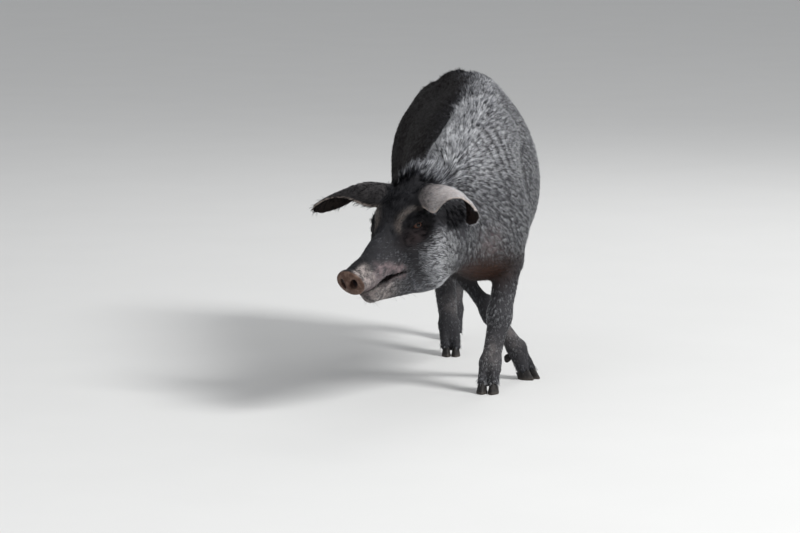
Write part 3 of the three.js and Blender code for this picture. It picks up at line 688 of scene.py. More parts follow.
def surfaceNet(field, low, high, step):
    low = np.array(low, float)
    values = sampled(field, low, np.array(high), step)
    inside = values < 0
    size = np.array(values.shape) - 1
    total = np.zeros(size, np.uint8)
    corners = [(a, b, c) for a in (0, 1) for b in (0, 1) for c in (0, 1)]
    for a, b, c in corners:
        total += inside[a : a + size[0], b : b + size[1], c : c + size[2]]
    cells = np.argwhere((total > 0) & (total < 8))
    corner = np.stack([values[tuple((cells + np.array(c)).T)] for c in corners], 1)
    place = np.zeros((len(cells), 3))
    crossings = np.zeros(len(cells))
    for i, a in enumerate(corners):
        for j in range(i + 1, 8):
            b = corners[j]
            if sum(abs(m - n) for m, n in zip(a, b)) != 1:
                continue
            cross = (corner[:, i] < 0) != (corner[:, j] < 0)
            t = corner[cross, i] / (corner[cross, i] - corner[cross, j])
            place[cross] += np.array(a) + t[:, None] * (np.array(b) - np.array(a))
            crossings[cross] += 1
    points = low + step * (cells + place / crossings[:, None])
    vertexOf = np.full(size, -1, np.int32)
    vertexOf[tuple(cells.T)] = np.arange(len(cells))
    rings = {
        0: ((0, -1, -1), (0, 0, -1), (0, 0, 0), (0, -1, 0)),
        1: ((-1, 0, -1), (-1, 0, 0), (0, 0, 0), (0, 0, -1)),
        2: ((-1, -1, 0), (0, -1, 0), (0, 0, 0), (-1, 0, 0)),
    }
    quads = []
    for axis, ring in rings.items():
        shift = np.eye(3, dtype=int)[axis]
        upper = inside[shift[0] :, shift[1] :, shift[2] :]
        lower = inside[: upper.shape[0], : upper.shape[1], : upper.shape[2]]
        edges = np.argwhere(upper != lower)
        edges = edges[np.all((edges >= 1 - shift) & (edges < size), axis=1)]
        here = inside[tuple(edges.T)]
        quad = np.stack([vertexOf[tuple((edges + np.array(r)).T)] for r in ring], 1)
        quad[~here] = quad[~here][:, ::-1]
        quads.append(quad)
    return points, np.concatenate(quads)


def settle(field, p, rounds=2, limit=2.0, step=0.4):
    for _ in range(rounds):
        d = field(p)
        slope = np.stack([field(p + step * np.eye(3)[a]) - d for a in range(3)], 1) / step
        steep = np.maximum((slope**2).sum(1), 0.15)
        move = -(d / steep)[:, None] * slope
        far = np.linalg.norm(move, axis=1, keepdims=True)
        p = p + move * np.minimum(1, limit / np.maximum(far, 1e-9))
    return p


def meshObject(name, points, faces, material=None, smooth=False):
    points, faces = np.asarray(points, float), np.asarray(faces, np.int32)
    mesh = bpy.data.meshes.new(name)
    mesh.vertices.add(len(points))
    mesh.vertices.foreach_set("co", points.ravel())
    sides = faces.shape[1]
    mesh.loops.add(faces.size)
    mesh.loops.foreach_set("vertex_index", faces.ravel())
    mesh.polygons.add(len(faces))
    mesh.polygons.foreach_set("loop_start", np.arange(len(faces)) * sides)
    mesh.polygons.foreach_set("use_smooth", np.full(len(faces), smooth))
    mesh.update(calc_edges=True)
    mesh.validate()
    obj = bpy.data.objects.new(name, mesh)
    bpy.context.scene.collection.objects.link(obj)
    if material:
        mesh.materials.append(material)
    return obj


def coordinates(mesh, kind="co"):
    co = np.zeros(len(mesh.vertices) * 3)
    if kind == "co":
        mesh.vertices.foreach_get("co", co)
    else:
        mesh.vertex_normals.foreach_get("vector", co)
    return co.reshape(-1, 3)


def loopVertices(mesh):
    index = np.zeros(len(mesh.loops), np.int32)
    mesh.loops.foreach_get("vertex_index", index)
    return index


def storeAttribute(mesh, name, kind, values, domain="POINT"):
    layer = mesh.attributes.new(name, kind, domain)
    key = {"FLOAT": "value", "INT": "value", "FLOAT_VECTOR": "vector", "FLOAT2": "vector"}[kind]
    layer.data.foreach_set(key, np.ascontiguousarray(values).ravel())
    return layer


def evaluated(obj, name):
    made = bpy.data.meshes.new_from_object(obj.evaluated_get(bpy.context.evaluated_depsgraph_get()))
    made.name = name
    return made


# The skin, one closed mesh
skinSettings = {
    "step": 3.1,
    "triangles": 110000,
    "headShare": 5.0,  # how much denser the head stays
    "fineEye": (34, 20),  # finer out to this far from an eye, in two rounds
    "fineMouth": 16,
    "edge": 0.0019,  # metres; longer edges are split where the skin is finer
}
clock = time.time()


def report(*words):
    print(f"[{time.time() - clock:5.1f}]", *words)


def makeSkin():
    step = skinSettings["step"]
    net = lambda p: skinField(p, True, 1.75 * step)
    low, high = (toPig(v) for v in cadBox)
    points, quads = surfaceNet(net, low - 8, high + 8, step)
    report("skin net", len(points), "points")
    obj = meshObject("skin", points / 1000, quads)
    q = toHead(points)
    onHead = ramp(q[:, 0], -40, 10) * (np.abs(q[:, 1]) < 260) * (q[:, 2] > -170)
    group = obj.vertex_groups.new(name="loose")
    weights = 1 - 0.85 * onHead
    for level in np.unique(np.round(weights, 1)):
        group.add(np.flatnonzero(np.round(weights, 1) == level).tolist(), float(level), "REPLACE")
    thin = obj.modifiers.new("thin", "DECIMATE")
    thin.ratio = min(1, skinSettings["triangles"] / (2 * len(quads)))
    thin.use_collapse_triangulate = True
    thin.vertex_group, thin.vertex_group_factor = "loose", skinSettings["headShare"]
    mesh = evaluated(obj, "skin")
    obj.modifiers.clear()
    obj.vertex_groups.clear()
    old, obj.data = obj.data, mesh
    bpy.data.meshes.remove(old)
    report("thinned to", len(mesh.polygons), "faces")
    for finer in ((1, 2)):
        bm = bmesh.new()
        bm.from_mesh(mesh)
        bm.verts.ensure_lookup_table()
        near = fineRegion(np.array([v.co for v in bm.verts]) * 1000, finer)
        edges = [e for e in bm.edges if near[e.verts[0].index] and near[e.verts[1].index]]
        edges = [e for e in edges if e.calc_length() > skinSettings["edge"] / finer]
        bmesh.ops.subdivide_edges(bm, edges=edges, cuts=1, use_grid_fill=True)
        bmesh.ops.triangulate(bm, faces=[f for f in bm.faces if len(f.verts) > 3])
        bm.to_mesh(mesh)
        bm.free()
    points = settle(skinField, coordinates(mesh) * 1000, 3, 1.6)
    mesh.vertices.foreach_set("co", toRow(points).ravel())
    mesh.polygons.foreach_set("use_smooth", np.ones(len(mesh.polygons), bool))
    mesh.update()
    report("skin has", len(mesh.polygons), "faces")
    return obj, points


def fineRegion(p, finer):
    q = toHead(p)
    near = np.zeros(len(p), bool)
    for side in (1, -1):
        t, u, w = eyeCoords(q, side)
        near |= np.sqrt(t * t + u * u + w * w) < skinSettings["fineEye"][finer - 1]
    if finer == 1:
        atLips = (q[:, 0] > 168) & (np.abs(q[:, 2] - mouthLine(q[:, 0])) < skinSettings["fineMouth"])
        near |= (atLips & (np.abs(q[:, 1]) < 60)) | (q[:, 0] > 262)
    else:
        near |= q[:, 0] > 296
    return near & (q[:, 0] > 60) & (np.abs(q[:, 1]) < 90)


skin, skinPoints = makeSkin()
skinMesh = skin.data
skinNormals = coordinates(skinMesh, "normal")


# Where each point of the skin is: weights, lie of the coat and unwrap
middleLine = np.array(  # through neck and trunk
    [(-30, -140, 480), (10, 20, 480), (27, 310, 462), (-3, 540, 478), (-44, 675, 472), (-96, 840, 470)]
)


def along(line, p, axis):  # point of a line at the same height or depth, and its way
    order = np.argsort(line[:, axis])
    line = line[order]
    at = np.stack([np.interp(p[:, axis], line[:, axis], line[:, a]) for a in range(3)], 1)
    ahead = np.stack([np.interp(p[:, axis] + 30, line[:, axis], line[:, a]) for a in range(3)], 1)
    way = ahead - at
    way[:, axis] += 1e-3
    return at, way / np.linalg.norm(way, axis=1, keepdims=True)


def normalised(v):
    return v / np.maximum(np.linalg.norm(v, axis=1, keepdims=True), 1e-9)


def describeSkin(p, n):
    q = toHead(p)
    _, headness, legness = skinParts(p, False)
    w = {"head": headness, "leg": legness, "q": q}
    for key in ("ear", "earT", "earSide", "earX", "earOuter"):  # T runs from root to tip, X across
        w[key] = np.zeros(len(p))
    earLie = np.zeros((len(p), 3))
    for side in (1, -1):
        t, x, _, _, _, half, _, out, face, across = earCoords(q, side)
        on = ramp(-earField(q, side), -2.5, -0.2) * ramp(t, 0.0, 0.12)
        own = on > w["ear"]
        w["ear"] = np.maximum(w["ear"], on)
        w["earT"][own], w["earX"][own], w["earSide"][own] = t[own], x[own], side
        outward = normalised(face * np.cos(x * half)[:, None] + across * np.sin(x * half)[:, None])
        nHead = n @ headRows.T
        w["earOuter"][own] = ((nHead * outward).sum(1) > 0)[own]
        rimward = across * (0.35 * x)[:, None] + np.array(out)
        earLie[own] = (rimward @ headRows)[own]
    w["tail"] = ramp(-(tailField(p) - 6), -6, 2) * (p[:, 1] > 820)
    centre, way = along(middleLine, p, 1)
    off = p - centre
    w["angle"] = np.arctan2(off[:, 0], off[:, 2])
    droop = 0.08 + 0.62 * ramp(np.abs(w["angle"]), 0.15, 1.2) * (1 - 0.45 * ramp(p[:, 1], 150, 450))
    bodyLie = way + np.array([0, 0, -1]) * droop[:, None]
    cheek = ramp(np.abs(q[:, 1]), 20, 60) * ramp(-q[:, 2], -60, 30)
    headLie = -headRows[0] + headRows[2] * (0.25 - 0.75 * cheek)[:, None]
    headLie = headLie + headRows[1] * (0.3 * q[:, 1] / 60)[:, None]
    legLie = np.tile(np.array([0.0, 0.22, -1.0]), (len(p), 1))
    neck = (1 - ramp(p[:, 1], 60, 280))[:, None]
    neckLie = normalised(p - np.array([-50, -165, 500])) - np.array([0, 0, 0.25])
    lie = normalised(bodyLie) * (1 - neck) + neckLie * neck
    w["poll"] = ramp(q[:, 0], -85, -45) * (1 - ramp(q[:, 0], 22, 50))
    w["poll"] = w["poll"] * ramp(q[:, 2], 55, 80) * (np.abs(q[:, 1]) < 60)
    for weight, other in ((legness, legLie), (headness, headLie)):
        lie = lie * (1 - weight[:, None]) + normalised(other) * weight[:, None]
    onTail = np.flatnonzero(w["tail"] > 0.2)
    if len(onTail):
        gap = ((p[onTail, None] - tailLine[None, :-1]) ** 2).sum(2).argmin(1)
        lie[onTail] = normalised(np.diff(tailLine, axis=0))[gap]
    lie = lie * (1 - w["ear"][:, None]) + normalised(earLie) * w["ear"][:, None]
    lie = lie - (lie * n).sum(1)[:, None] * n
    slant = np.tile(unit((0.6, 0.2, -0.75)), (len(p), 1))  # takes over where the lies cancel out
    slant = normalised(slant - (slant * n).sum(1)[:, None] * n)
    weak = np.maximum(0, 0.7 - np.linalg.norm(lie, axis=1)) * (1 - w["ear"]) * (1 - headness)
    lie = lie + slant * weak[:, None]
    w["lie"] = lie / np.maximum(np.linalg.norm(lie, axis=1, keepdims=True), 0.4)
    w["centre"] = centre
    return w


def blob(p, at, reach):
    return np.exp(-(((p - np.array(at)) / np.array(reach)) ** 2).sum(1))


traits = describeSkin(skinPoints, skinNormals)
report("lie of the coat")


turnWidth = {0: 0.68, 1: 0.38, 2: 0.22, 3: 0.22, 4: 0.22, 5: 0.22, 8: 0.04}  # of a full turn, by island


def unwrapSkin(p):  # islands side by side: trunk 0, head 1, legs 2 to 5, ears 6 and 7, tail 8
    q = traits["q"]
    part = np.zeros(len(p), int)
    uv = np.zeros((9, len(p), 2))
    angle = np.arctan2(p[:, 0] - traits["centre"][:, 0], p[:, 2] - traits["centre"][:, 2])
    around = 0.37 + angle / (2 * math.pi) * turnWidth[0]
    uv[0] = np.stack([0.03 + (p[:, 1] + 200) / 1000 * 0.5, around], 1)
    angle = np.arctan2(q[:, 1], q[:, 2] + 14)
    uv[1] = np.stack([0.64 + (q[:, 0] + 60) / 1000 * 0.6, 0.22 + angle / (2 * math.pi) * turnWidth[1]], 1)
    part[traits["head"] > 0.5] = 1
    for i, (name, leg) in enumerate(legs.items()):
        line = np.array([at for at, _ in leg["joints"]] + [leg["foot"]], float)
        centre, _ = along(line, p, 2)
        out = 1 if name.startswith("left") else -1
        angle = np.arctan2(p[:, 1] - centre[:, 1], (p[:, 0] - centre[:, 0]) * out)
        base = (0.03 + 0.23 * i, 0.84)
        around = base[1] + angle / (2 * math.pi) * turnWidth[2 + i]
        uv[2 + i] = np.stack([base[0] + p[:, 2] / 1000 * 0.42, around], 1)
        gap = np.full(len(p), 1e3)
        near = within(p, *legBoxes[name])
        gap[near] = legFields[name](p[near])
        part[(traits["leg"] > 0.5) & (np.abs(gap) < 22)] = 2 + i
    onEar = traits["ear"] > 0.5
    for side, number in ((1, 6), (-1, 7)):
        mine = onEar & (traits["earSide"] == side)
        shift = np.where(traits["earOuter"] > 0, 0.0, 0.12)
        base = (0.66, 0.5 if side > 0 else 0.62)
        u = base[0] + traits["earT"] * 0.12 + shift
        uv[number] = np.stack([u, base[1] + traits["earX"] * 0.045], 1)
        part[mine] = number
    around = turnWidth[8] * np.arctan2(p[:, 0] + 110, p[:, 1] - 860) / (2 * math.pi)
    uv[8] = np.stack([0.93 + around, 0.45 + p[:, 2] / 1000 * 0.4], 1)
    part[traits["tail"] > 0.5] = 8
    return uv, part


def cornerUv(mesh, uv, part):  # a face that crosses an island's seam keeps to one side of it
    loops = loopVertices(mesh).reshape(-1, 3)
    owner = part[loops[:, 0]]
    corner = uv[owner[:, None], loops]
    for number, turn in turnWidth.items():
        mine = owner == number
        axis = 0 if number == 8 else 1
        c = corner[mine]
        jump = c[:, :, axis] - c[:, :1, axis]
        c[:, :, axis] -= turn * np.round(jump / turn)
        corner[mine] = c
    return corner.reshape(-1, 2)


rootUv = cornerUv(skinMesh, *unwrapSkin(skinPoints))
storeAttribute(skinMesh, "rootUv", "FLOAT2", rootUv, "CORNER")


# Markings shared by the skin and the coat
legPatches = [  # grey patches: place, reach and strength
    ((58, 0, 90), (18, 20, 30), 0.8),
    ((120, 150, 120), (26, 26, 34), 0.75),
    ((-28, 560, 110), (26, 24, 26), 0.6),
    ((-46, 600, 200), (30, 24, 40), 0.6),
    ((-20, 790, 110), (26, 24, 26), 0.5),
]


def paintTraits(p, w):  # how silver, warm, pink and so on each point is, from 0 to 1
    q = w["q"]
    head, leg, isEar = w["head"], w["leg"], w["ear"]
    body = (1 - head) * (1 - leg)
    # Silver is partly the coat's real grey grizzle and partly painted light: the left side, which faces the
    # key light, is painted lighter, most of all at the front, and the right side behind the neck is painted
    # near black as shade.
    left = ramp(w["angle"], -0.3, 0.08)
    front = 1 - ramp(p[:, 1], 300, 560)
    neck = 1 - ramp(p[:, 1], 40, 290)
    silver = body * (0.02 + left * (0.2 + 0.51 * front) + (1 - left) * 0.74 * neck)
    silver *= 1 - 0.6 * ramp(-p[:, 2], -350, -270)
    silver += 0.12 * body * (1 - left) * neck
    silver += 0.18 * body * blob(p, (20, -60, 560), (110, 110, 60))
    low = 1 - ramp(q[:, 2], -8, 34)
    cheek = 1 - ramp(q[:, 0] - 0.35 * q[:, 2], 96, 190)
    silver += head * (0.16 + low * (0.42 + 0.5 * cheek))
    silver += 0.34 * head * blob(q, (206, 6, 34), (50, 40, 34))
    # Painted shadow of the near ear: the cheek and neck under it are made darker.
    silver -= 0.8 * blob(q, (26, 80, 24), (36, 26, 20)) * (1 - isEar)
    silver = np.maximum(silver, 0.62 * w["poll"] * ramp(-q[:, 0], -45, -15))
    silver += leg * (0.56 + 0.24 * ramp(p[:, 0], 15, 40) * (1 - ramp(p[:, 1], 70, 130)))
    # More painted shadow under the near ear, at its root.
    silver *= 1 - 0.85 * np.clip(blob(q, (14, 78, 14), (36, 28, 26)) * 1.3, 0, 1) * (1 - isEar)
    onNear = 0.94 * w["earOuter"] * (w["earSide"] > 0) * (0.25 + 0.75 * ramp(w["earT"], 0.08, 0.45))
    silver = np.where(isEar > 0, silver * (1 - isEar) + isEar * (0.06 + onNear), silver)
    warm = 1.0 * blob(p, (40, -10, 296), (60, 90, 44)) + 0.7 * blob(p, (30, 120, 310), (60, 90, 44))
    warm += 0.4 * blob(p, (-20, -70, 320), (60, 50, 40)) + 0.25 * blob(p, (0, 420, 250), (110, 180, 40))
    warm += 0.3 * blob(p, (-20, 620, 330), (60, 70, 80)) + 0.08 * body * (1 - left) * (1 - neck)
    pink = 0.8 * blob(p, (52, -110, 360), (26, 40, 34)) + 0.4 * blob(p, (-20, -80, 318), (45, 50, 34))
    aboveLip = q[:, 2] - mouthLine(q[:, 0])
    lipGap = np.abs(aboveLip)
    rosy = 0.9 * bell(lipGap / 9) * ramp(q[:, 0], 165, 185) * head
    share = np.clip((q[:, 0] - 190) / 60, 0, 1)
    roll = np.hypot(q[:, 0] - 190 - 60 * share, q[:, 2] + 32 - 34 * share)
    rosy += 0.8 * bell(roll / 11) * head * (np.abs(q[:, 1]) > 16)
    rosy += 0.5 * ramp(q[:, 0], 205, 235) * ramp(10 - q[:, 2], 0, 16) * (aboveLip > 0) * head
    pale = 0.75 * ramp(np.abs(q[:, 1]), 6, 18) * ramp(q[:, 0], 262, 284) * (1 - ramp(q[:, 0], 316, 322))
    pale = pale * ramp(q[:, 2], -34, -6) * head
    pale += 0.8 * bell((q[:, 0] - 258) / 38) * (aboveLip < 0) * head
    tan, dusk = np.zeros(len(p)), np.zeros(len(p))
    for side in (1, -1):
        m = q * np.array([1, side, 1])
        t, u, out = eyeCoords(q, side)
        ring, arc = browRing(t, u, out)
        # The brow fold's band is partly its real tan-grey skin and partly a painted highlight along the
        # fold's crest.
        tan += 0.62 * bell((ring - 1) / 5.0) * arc * (out > -25)
        # The under-eye pouches take the dusk colour: their violet-grey skin, made lighter as a painted
        # sheen on them.
        dusk += blob(m, (132, 56, 18), (36, 24, 20))
        silver += 0.8 * blob(m, (58, 80, -26), (32, 32, 42)) * head
        # Painted shade around the eye: darker behind it under the brow, where the ear's shadow falls, and
        # in the hollow in front of the pouch.
        mask = blob(m, (92, 58, 30), (36, 30, 30)) + blob(m, (140, 56, 20), (30, 24, 26))
        silver -= 0.5 * mask * head
    inMouth = (lipGap < 9) * (np.abs(q[:, 1]) < 18) * (q[:, 0] > 180) * (q[:, 0] < 276) * head
    rosy, pale, dusk = rosy * (1 - inMouth), pale * (1 - inMouth), dusk * 0.85 + inMouth
    for at, reach, amount in legPatches:
        pale += 0.4 * amount * blob(p, at, reach) * leg
        silver += 0.6 * amount * blob(p, at, reach) * leg
    return {
        "silver": np.clip(silver, 0, 1),
        "warm": np.clip(warm + 0.12 * pink, 0, 1),
        "rosy": np.clip(rosy + pink, 0, 1),
        "pale": np.clip(pale, 0, 1),
        "tan": np.clip(tan, 0, 1),
        "dusk": np.clip(dusk, 0, 1),
    }


marks = paintTraits(skinPoints, traits)


def paintPlaces(w):  # snout disc, inside of mouth and nostrils painted dark as shade, and the ears with a painted sheen stripe on the far one
    q, earT, earX = w["q"], w["earT"], w["earX"]
    x, y, z = discCoords(q)
    marks["disc"] = ramp(x, disc["thick"] - 9, disc["thick"] - 4) * (np.hypot(y / 40, z / 34) < 1)
    # Inside of the mouth and nostrils, painted near black as shade in these hollows.
    throat = ramp(-mouthField(q, headBulk(q)), -1.2, 0.8) * (q[:, 0] < 300)
    marks["inside"] = np.clip(throat * w["head"], 0, 1)
    for side in (1, -1):
        marks["inside"] = np.maximum(marks["inside"], ramp(-nostrilField(q, side), -2.5, 1.0))
    marks["ear"] = w["ear"] * np.where(w["earOuter"] > 0, 1.0, 0.0)
    # Painted sheen: a lighter stripe on the far ear's outer face, where light catches it.
    sheenStripe = bell((earX + 0.35) / 0.3) * ramp(earT, 0.2, 0.4) * (w["earSide"] < 0)
    paintedSheen = 0.5 * sheenStripe * marks["ear"] * (1 - ramp(earT, 0.7, 0.85))
    marks["silver"] = np.clip(marks["silver"] + paintedSheen, 0, 1)
    marks["earInside"] = w["ear"] * np.where(w["earOuter"] > 0, 0.0, 1.0)
    marks["rim"] = w["ear"] * ramp(earX, 0.9, 0.99)


paintPlaces(traits)
for name, values in marks.items():
    storeAttribute(skinMesh, name, "FLOAT", values.astype(np.float32))
storeAttribute(skinMesh, "lie", "FLOAT_VECTOR", traits["lie"].astype(np.float32))
report("markings")


# Shader maths as Python expressions
class Wire:
    def __init__(self, sheet, socket):
        self.sheet, self.socket = sheet, socket

    def math(self, operation, *others, clamp=False):
        values = dict(enumerate((self, *others)))
        node = self.sheet.node("ShaderNodeMath", {"operation": operation, "use_clamp": clamp}, values)
        return Wire(self.sheet, node.outputs[0])

    def __add__(self, other):
        return self.math("ADD", other)

    __radd__ = __add__

    def __mul__(self, other):
        return self.math("MULTIPLY", other)

    __rmul__ = __mul__

    def __sub__(self, other):
        return self.math("SUBTRACT", other)

    def __rsub__(self, other):
        return (self * -1).math("ADD", other)

    def clamped(self):
        return self.math("ADD", 0.0, clamp=True)

    def rising(self, low, high):  # 0 below low, 1 above high, smooth between
        node = self.sheet.node(
            "ShaderNodeMapRange",
            {"interpolation_type": "SMOOTHSTEP"},
            {"Value": self, "From Min": low, "From Max": high},
        )
        return Wire(self.sheet, node.outputs["Result"])


class Sheet:  # the nodes of one material
    def __init__(self, name):
        self.material = bpy.data.materials.new(name)
        self.material.use_nodes = True
        self.tree = self.material.node_tree
        self.tree.nodes.clear()

    def node(self, kind, settings=None, sockets=None):
        made = self.tree.nodes.new(kind)
        for key, value in (settings or {}).items():
            if key == "stops":
                self.fillRamp(made.color_ramp, value)
            else:
                setattr(made, key, value)
        for key, value in (sockets or {}).items():
            socket = made.inputs[key]
            if isinstance(value, Wire):
                self.tree.links.new(value.socket, socket)
            else:
                socket.default_value = value
        return made

    def fillRamp(self, ramp, stops):
        while len(ramp.elements) < len(stops):
            ramp.elements.new(1)
        for element, (place, colour) in zip(ramp.elements, stops):
            element.position, element.color = place, (*colour, 1)

    def wire(self, kind, settings=None, sockets=None, out=0):
        return Wire(self, self.node(kind, settings, sockets).outputs[out])

    def trait(self, name):
        return self.wire("ShaderNodeAttribute", {"attribute_name": name}, out="Fac")

    def place(self):
        return self.wire("ShaderNodeTexCoord", out="Object")

    def noise(self, where, scale, detail=3.0, rough=0.55):
        sockets = {"Vector": where, "Scale": scale, "Detail": detail, "Roughness": rough}
        return self.wire("ShaderNodeTexNoise", None, sockets, "Fac")

    def blend(self, mask, a, b):  # colour b where the mask is 1
        a = a if isinstance(a, Wire) else (*a, 1)
        b = b if isinstance(b, Wire) else (*b, 1)
        return self.wire("ShaderNodeMix", {"data_type": "RGBA"}, {0: mask, 6: a, 7: b}, 2)

    def scaled(self, where, scale):
        return self.wire("ShaderNodeVectorMath", {"operation": "MULTIPLY"}, {0: where, 1: scale})

    def bump(self, height, distance, strength):
        sockets = {"Height": height, "Distance": distance, "Strength": strength}
        return self.wire("ShaderNodeBump", None, sockets)

    def finish(self, **sockets):
        named = {key.replace("_", " "): value for key, value in sockets.items()}
        shader = self.node("ShaderNodeBsdfPrincipled", None, named)
        out = self.node("ShaderNodeOutputMaterial")
        self.tree.links.new(shader.outputs[0], out.inputs["Surface"])
        return self.material


skinColours = {
    "dark": (0.0060, 0.0060, 0.0075),
    "grey": (0.056, 0.055, 0.060),
    "warm": (0.078, 0.027, 0.011),
    "warmDeep": (0.014, 0.006, 0.004),
    "rosy": (0.225, 0.172, 0.178),
    "pale": (0.420, 0.370, 0.350),
    # the brow fold's tan-grey, made lighter as a painted highlight on its crest
    "tan": (0.190, 0.155, 0.135),
    # violet-grey of the under-eye pouches, lightened as a painted sheen; also used along the mouth's slit
    "dusk": (0.056, 0.040, 0.041),
    "disc": (0.092, 0.052, 0.039),
    "discPale": (0.205, 0.138, 0.108),
    # near black inside the mouth and nostrils: painted shade in these hollows
    "inside": (0.016, 0.006, 0.006),
    "ear": (0.520, 0.470, 0.455),
    "earInside": (0.020, 0.013, 0.011),
    "rim": (0.640, 0.540, 0.480),
}


def makeSkinMaterial():
    s = Sheet("pigSkin")
    c = skinColours
    where = s.place()
    flow = s.wire("ShaderNodeUVMap", {"uv_map": "rootUv"})
    broad = s.noise(where, 14, 3)
    mottle = s.noise(where, 75, 4)
    fine = s.noise(where, 420, 3)
    streak = s.noise(s.scaled(flow, (90, 1000, 1)), 1, 3)
    silver = s.trait("silver")
    base = s.blend((silver * 0.8 + broad * 0.4 - 0.4 + mottle * 0.4).clamped(), c["dark"], c["grey"])
    base = s.blend(s.trait("dusk") * 0.9, base, c["dusk"])
    ember = s.blend(streak.rising(0.35, 0.65), c["warmDeep"], c["warm"])
    base = s.blend((s.trait("warm") * (0.75 + mottle * 0.5)).clamped(), base, ember)
    base = s.blend((s.trait("rosy") * (0.1 + mottle.rising(0.3, 0.65) * 0.9)).clamped(), base, c["rosy"])
    specks = fine.rising(0.38, 0.6) * 0.55 + mottle.rising(0.42, 0.6) * 0.6
    base = s.blend((s.trait("pale") * specks).clamped(), base, c["pale"])
    # Brow fold: real tan-grey with a painted highlight on its crest.
    base = s.blend((s.trait("tan") * fine.rising(0.3, 0.65)).clamped(), base, c["tan"])
    hairs = streak.rising(0.3, 0.62) * 0.7 + mottle * 0.6
    base = s.blend((s.trait("ear") * silver * hairs).clamped(), base, c["ear"])
    base = s.blend(s.trait("earInside") * 0.9, base, c["earInside"])
    base = s.blend((s.trait("rim") * (0.4 + silver * 0.5)).clamped(), base, c["rim"])
    snout = s.blend(mottle.rising(0.4, 0.7), c["disc"], c["discPale"])
    disc = s.trait("disc")
    base = s.blend(disc, base, snout)
    # Painted shade inside the mouth and nostrils.
    inside = s.trait("inside")
    base = s.blend(inside, base, c["inside"])
    cells = ("ShaderNodeTexVoronoi", {"feature": "DISTANCE_TO_EDGE"})
    pores = s.wire(*cells, {"Vector": where, "Scale": 240.0})
    creased = s.wire(*cells, {"Vector": s.scaled(flow, (160, 420, 1)), "Scale": 1.0})
    height = streak * (1 - disc) * 0.6 + fine * 0.25 + pores.rising(0, 0.25) * 0.25
    height = height + creased.rising(0, 0.12) * 0.25
    normal = s.bump(height, 0.0016, 0.75)
    rough = 0.5 + mottle * 0.16 - s.trait("rosy") * 0.08 - inside * 0.2 - disc * 0.06
    return s.finish(Base_Color=base, Roughness=rough, Normal=normal, Specular_IOR_Level=0.16)


skinMesh.materials.append(makeSkinMaterial())

coatColours = {"warm": (0.070, 0.026, 0.011), "pale": (0.520, 0.480, 0.450)}
coatTones = [  # from black bristles to white ones
    (0.0, (0.0035, 0.0035, 0.0045)),
    (0.28, (0.0070, 0.0072, 0.0090)),
    (0.43, (0.040, 0.042, 0.050)),
    (0.62, (0.205, 0.210, 0.228)),
    (1.0, (0.700, 0.710, 0.730)),
]


def makeCoatMaterial(name, uneven):
    s = Sheet(name)
    c = coatColours
    rise = s.trait("rise")  # 0 at a bristle's root, 1 at its tip
    chance = s.trait("strand")
    silver = s.trait("silver")
    tone = s.trait("tone")  # differs from tuft to tuft
    level = silver + (0.5 - tone) * uneven + (0.5 - chance) * (0.7 * uneven)
    level = level + (s.trait("clump") - 0.5) * 0.12
    level = level * (0.45 + 0.55 * rise.rising(0.0, 0.4))
    colour = s.wire("ShaderNodeValToRGB", {"stops": coatTones}, {"Fac": level.clamped()}, "Color")
    colour = s.blend((s.trait("warm") * 0.9).clamped(), colour, c["warm"])
    paler = (s.trait("pale") + s.trait("tan") * 0.6 + s.trait("rosy") * 0.4) * chance.rising(0.9, 0.3)
    colour = s.blend(paler.clamped(), colour, c["pale"])
    return s.finish(Base_Color=colour, Roughness=0.55, Specular_IOR_Level=0.05)


coatMaterial = makeCoatMaterial("pigCoat", 0.47)
shortCoatMaterial = makeCoatMaterial("pigShortCoat", 0.28)

# Tufts: a few bristles that share a root
tuftColumns = ("kinds", "bristles", "width", "thick", "spread", "fan", "bend")
tuftRows = {  # sizes in metres; length is 1 and is scaled where the tuft grows
    "coat": (6, 5, 0.00092, 0.0006, 0.0023, 0.07, 0.0),
    "mane": (6, 5, 0.00130, 0.0008, 0.0030, 0.14, 0.10),
    "short": (5, 4, 0.00085, 0.0005, 0.0018, 0.10, 0.0),
    "whisker": (4, 1, 0.00080, 0.0007, 0.0, 0.0, 0.16),
}
tuftShapes = {kind: dict(zip(tuftColumns, row)) for kind, row in tuftRows.items()}


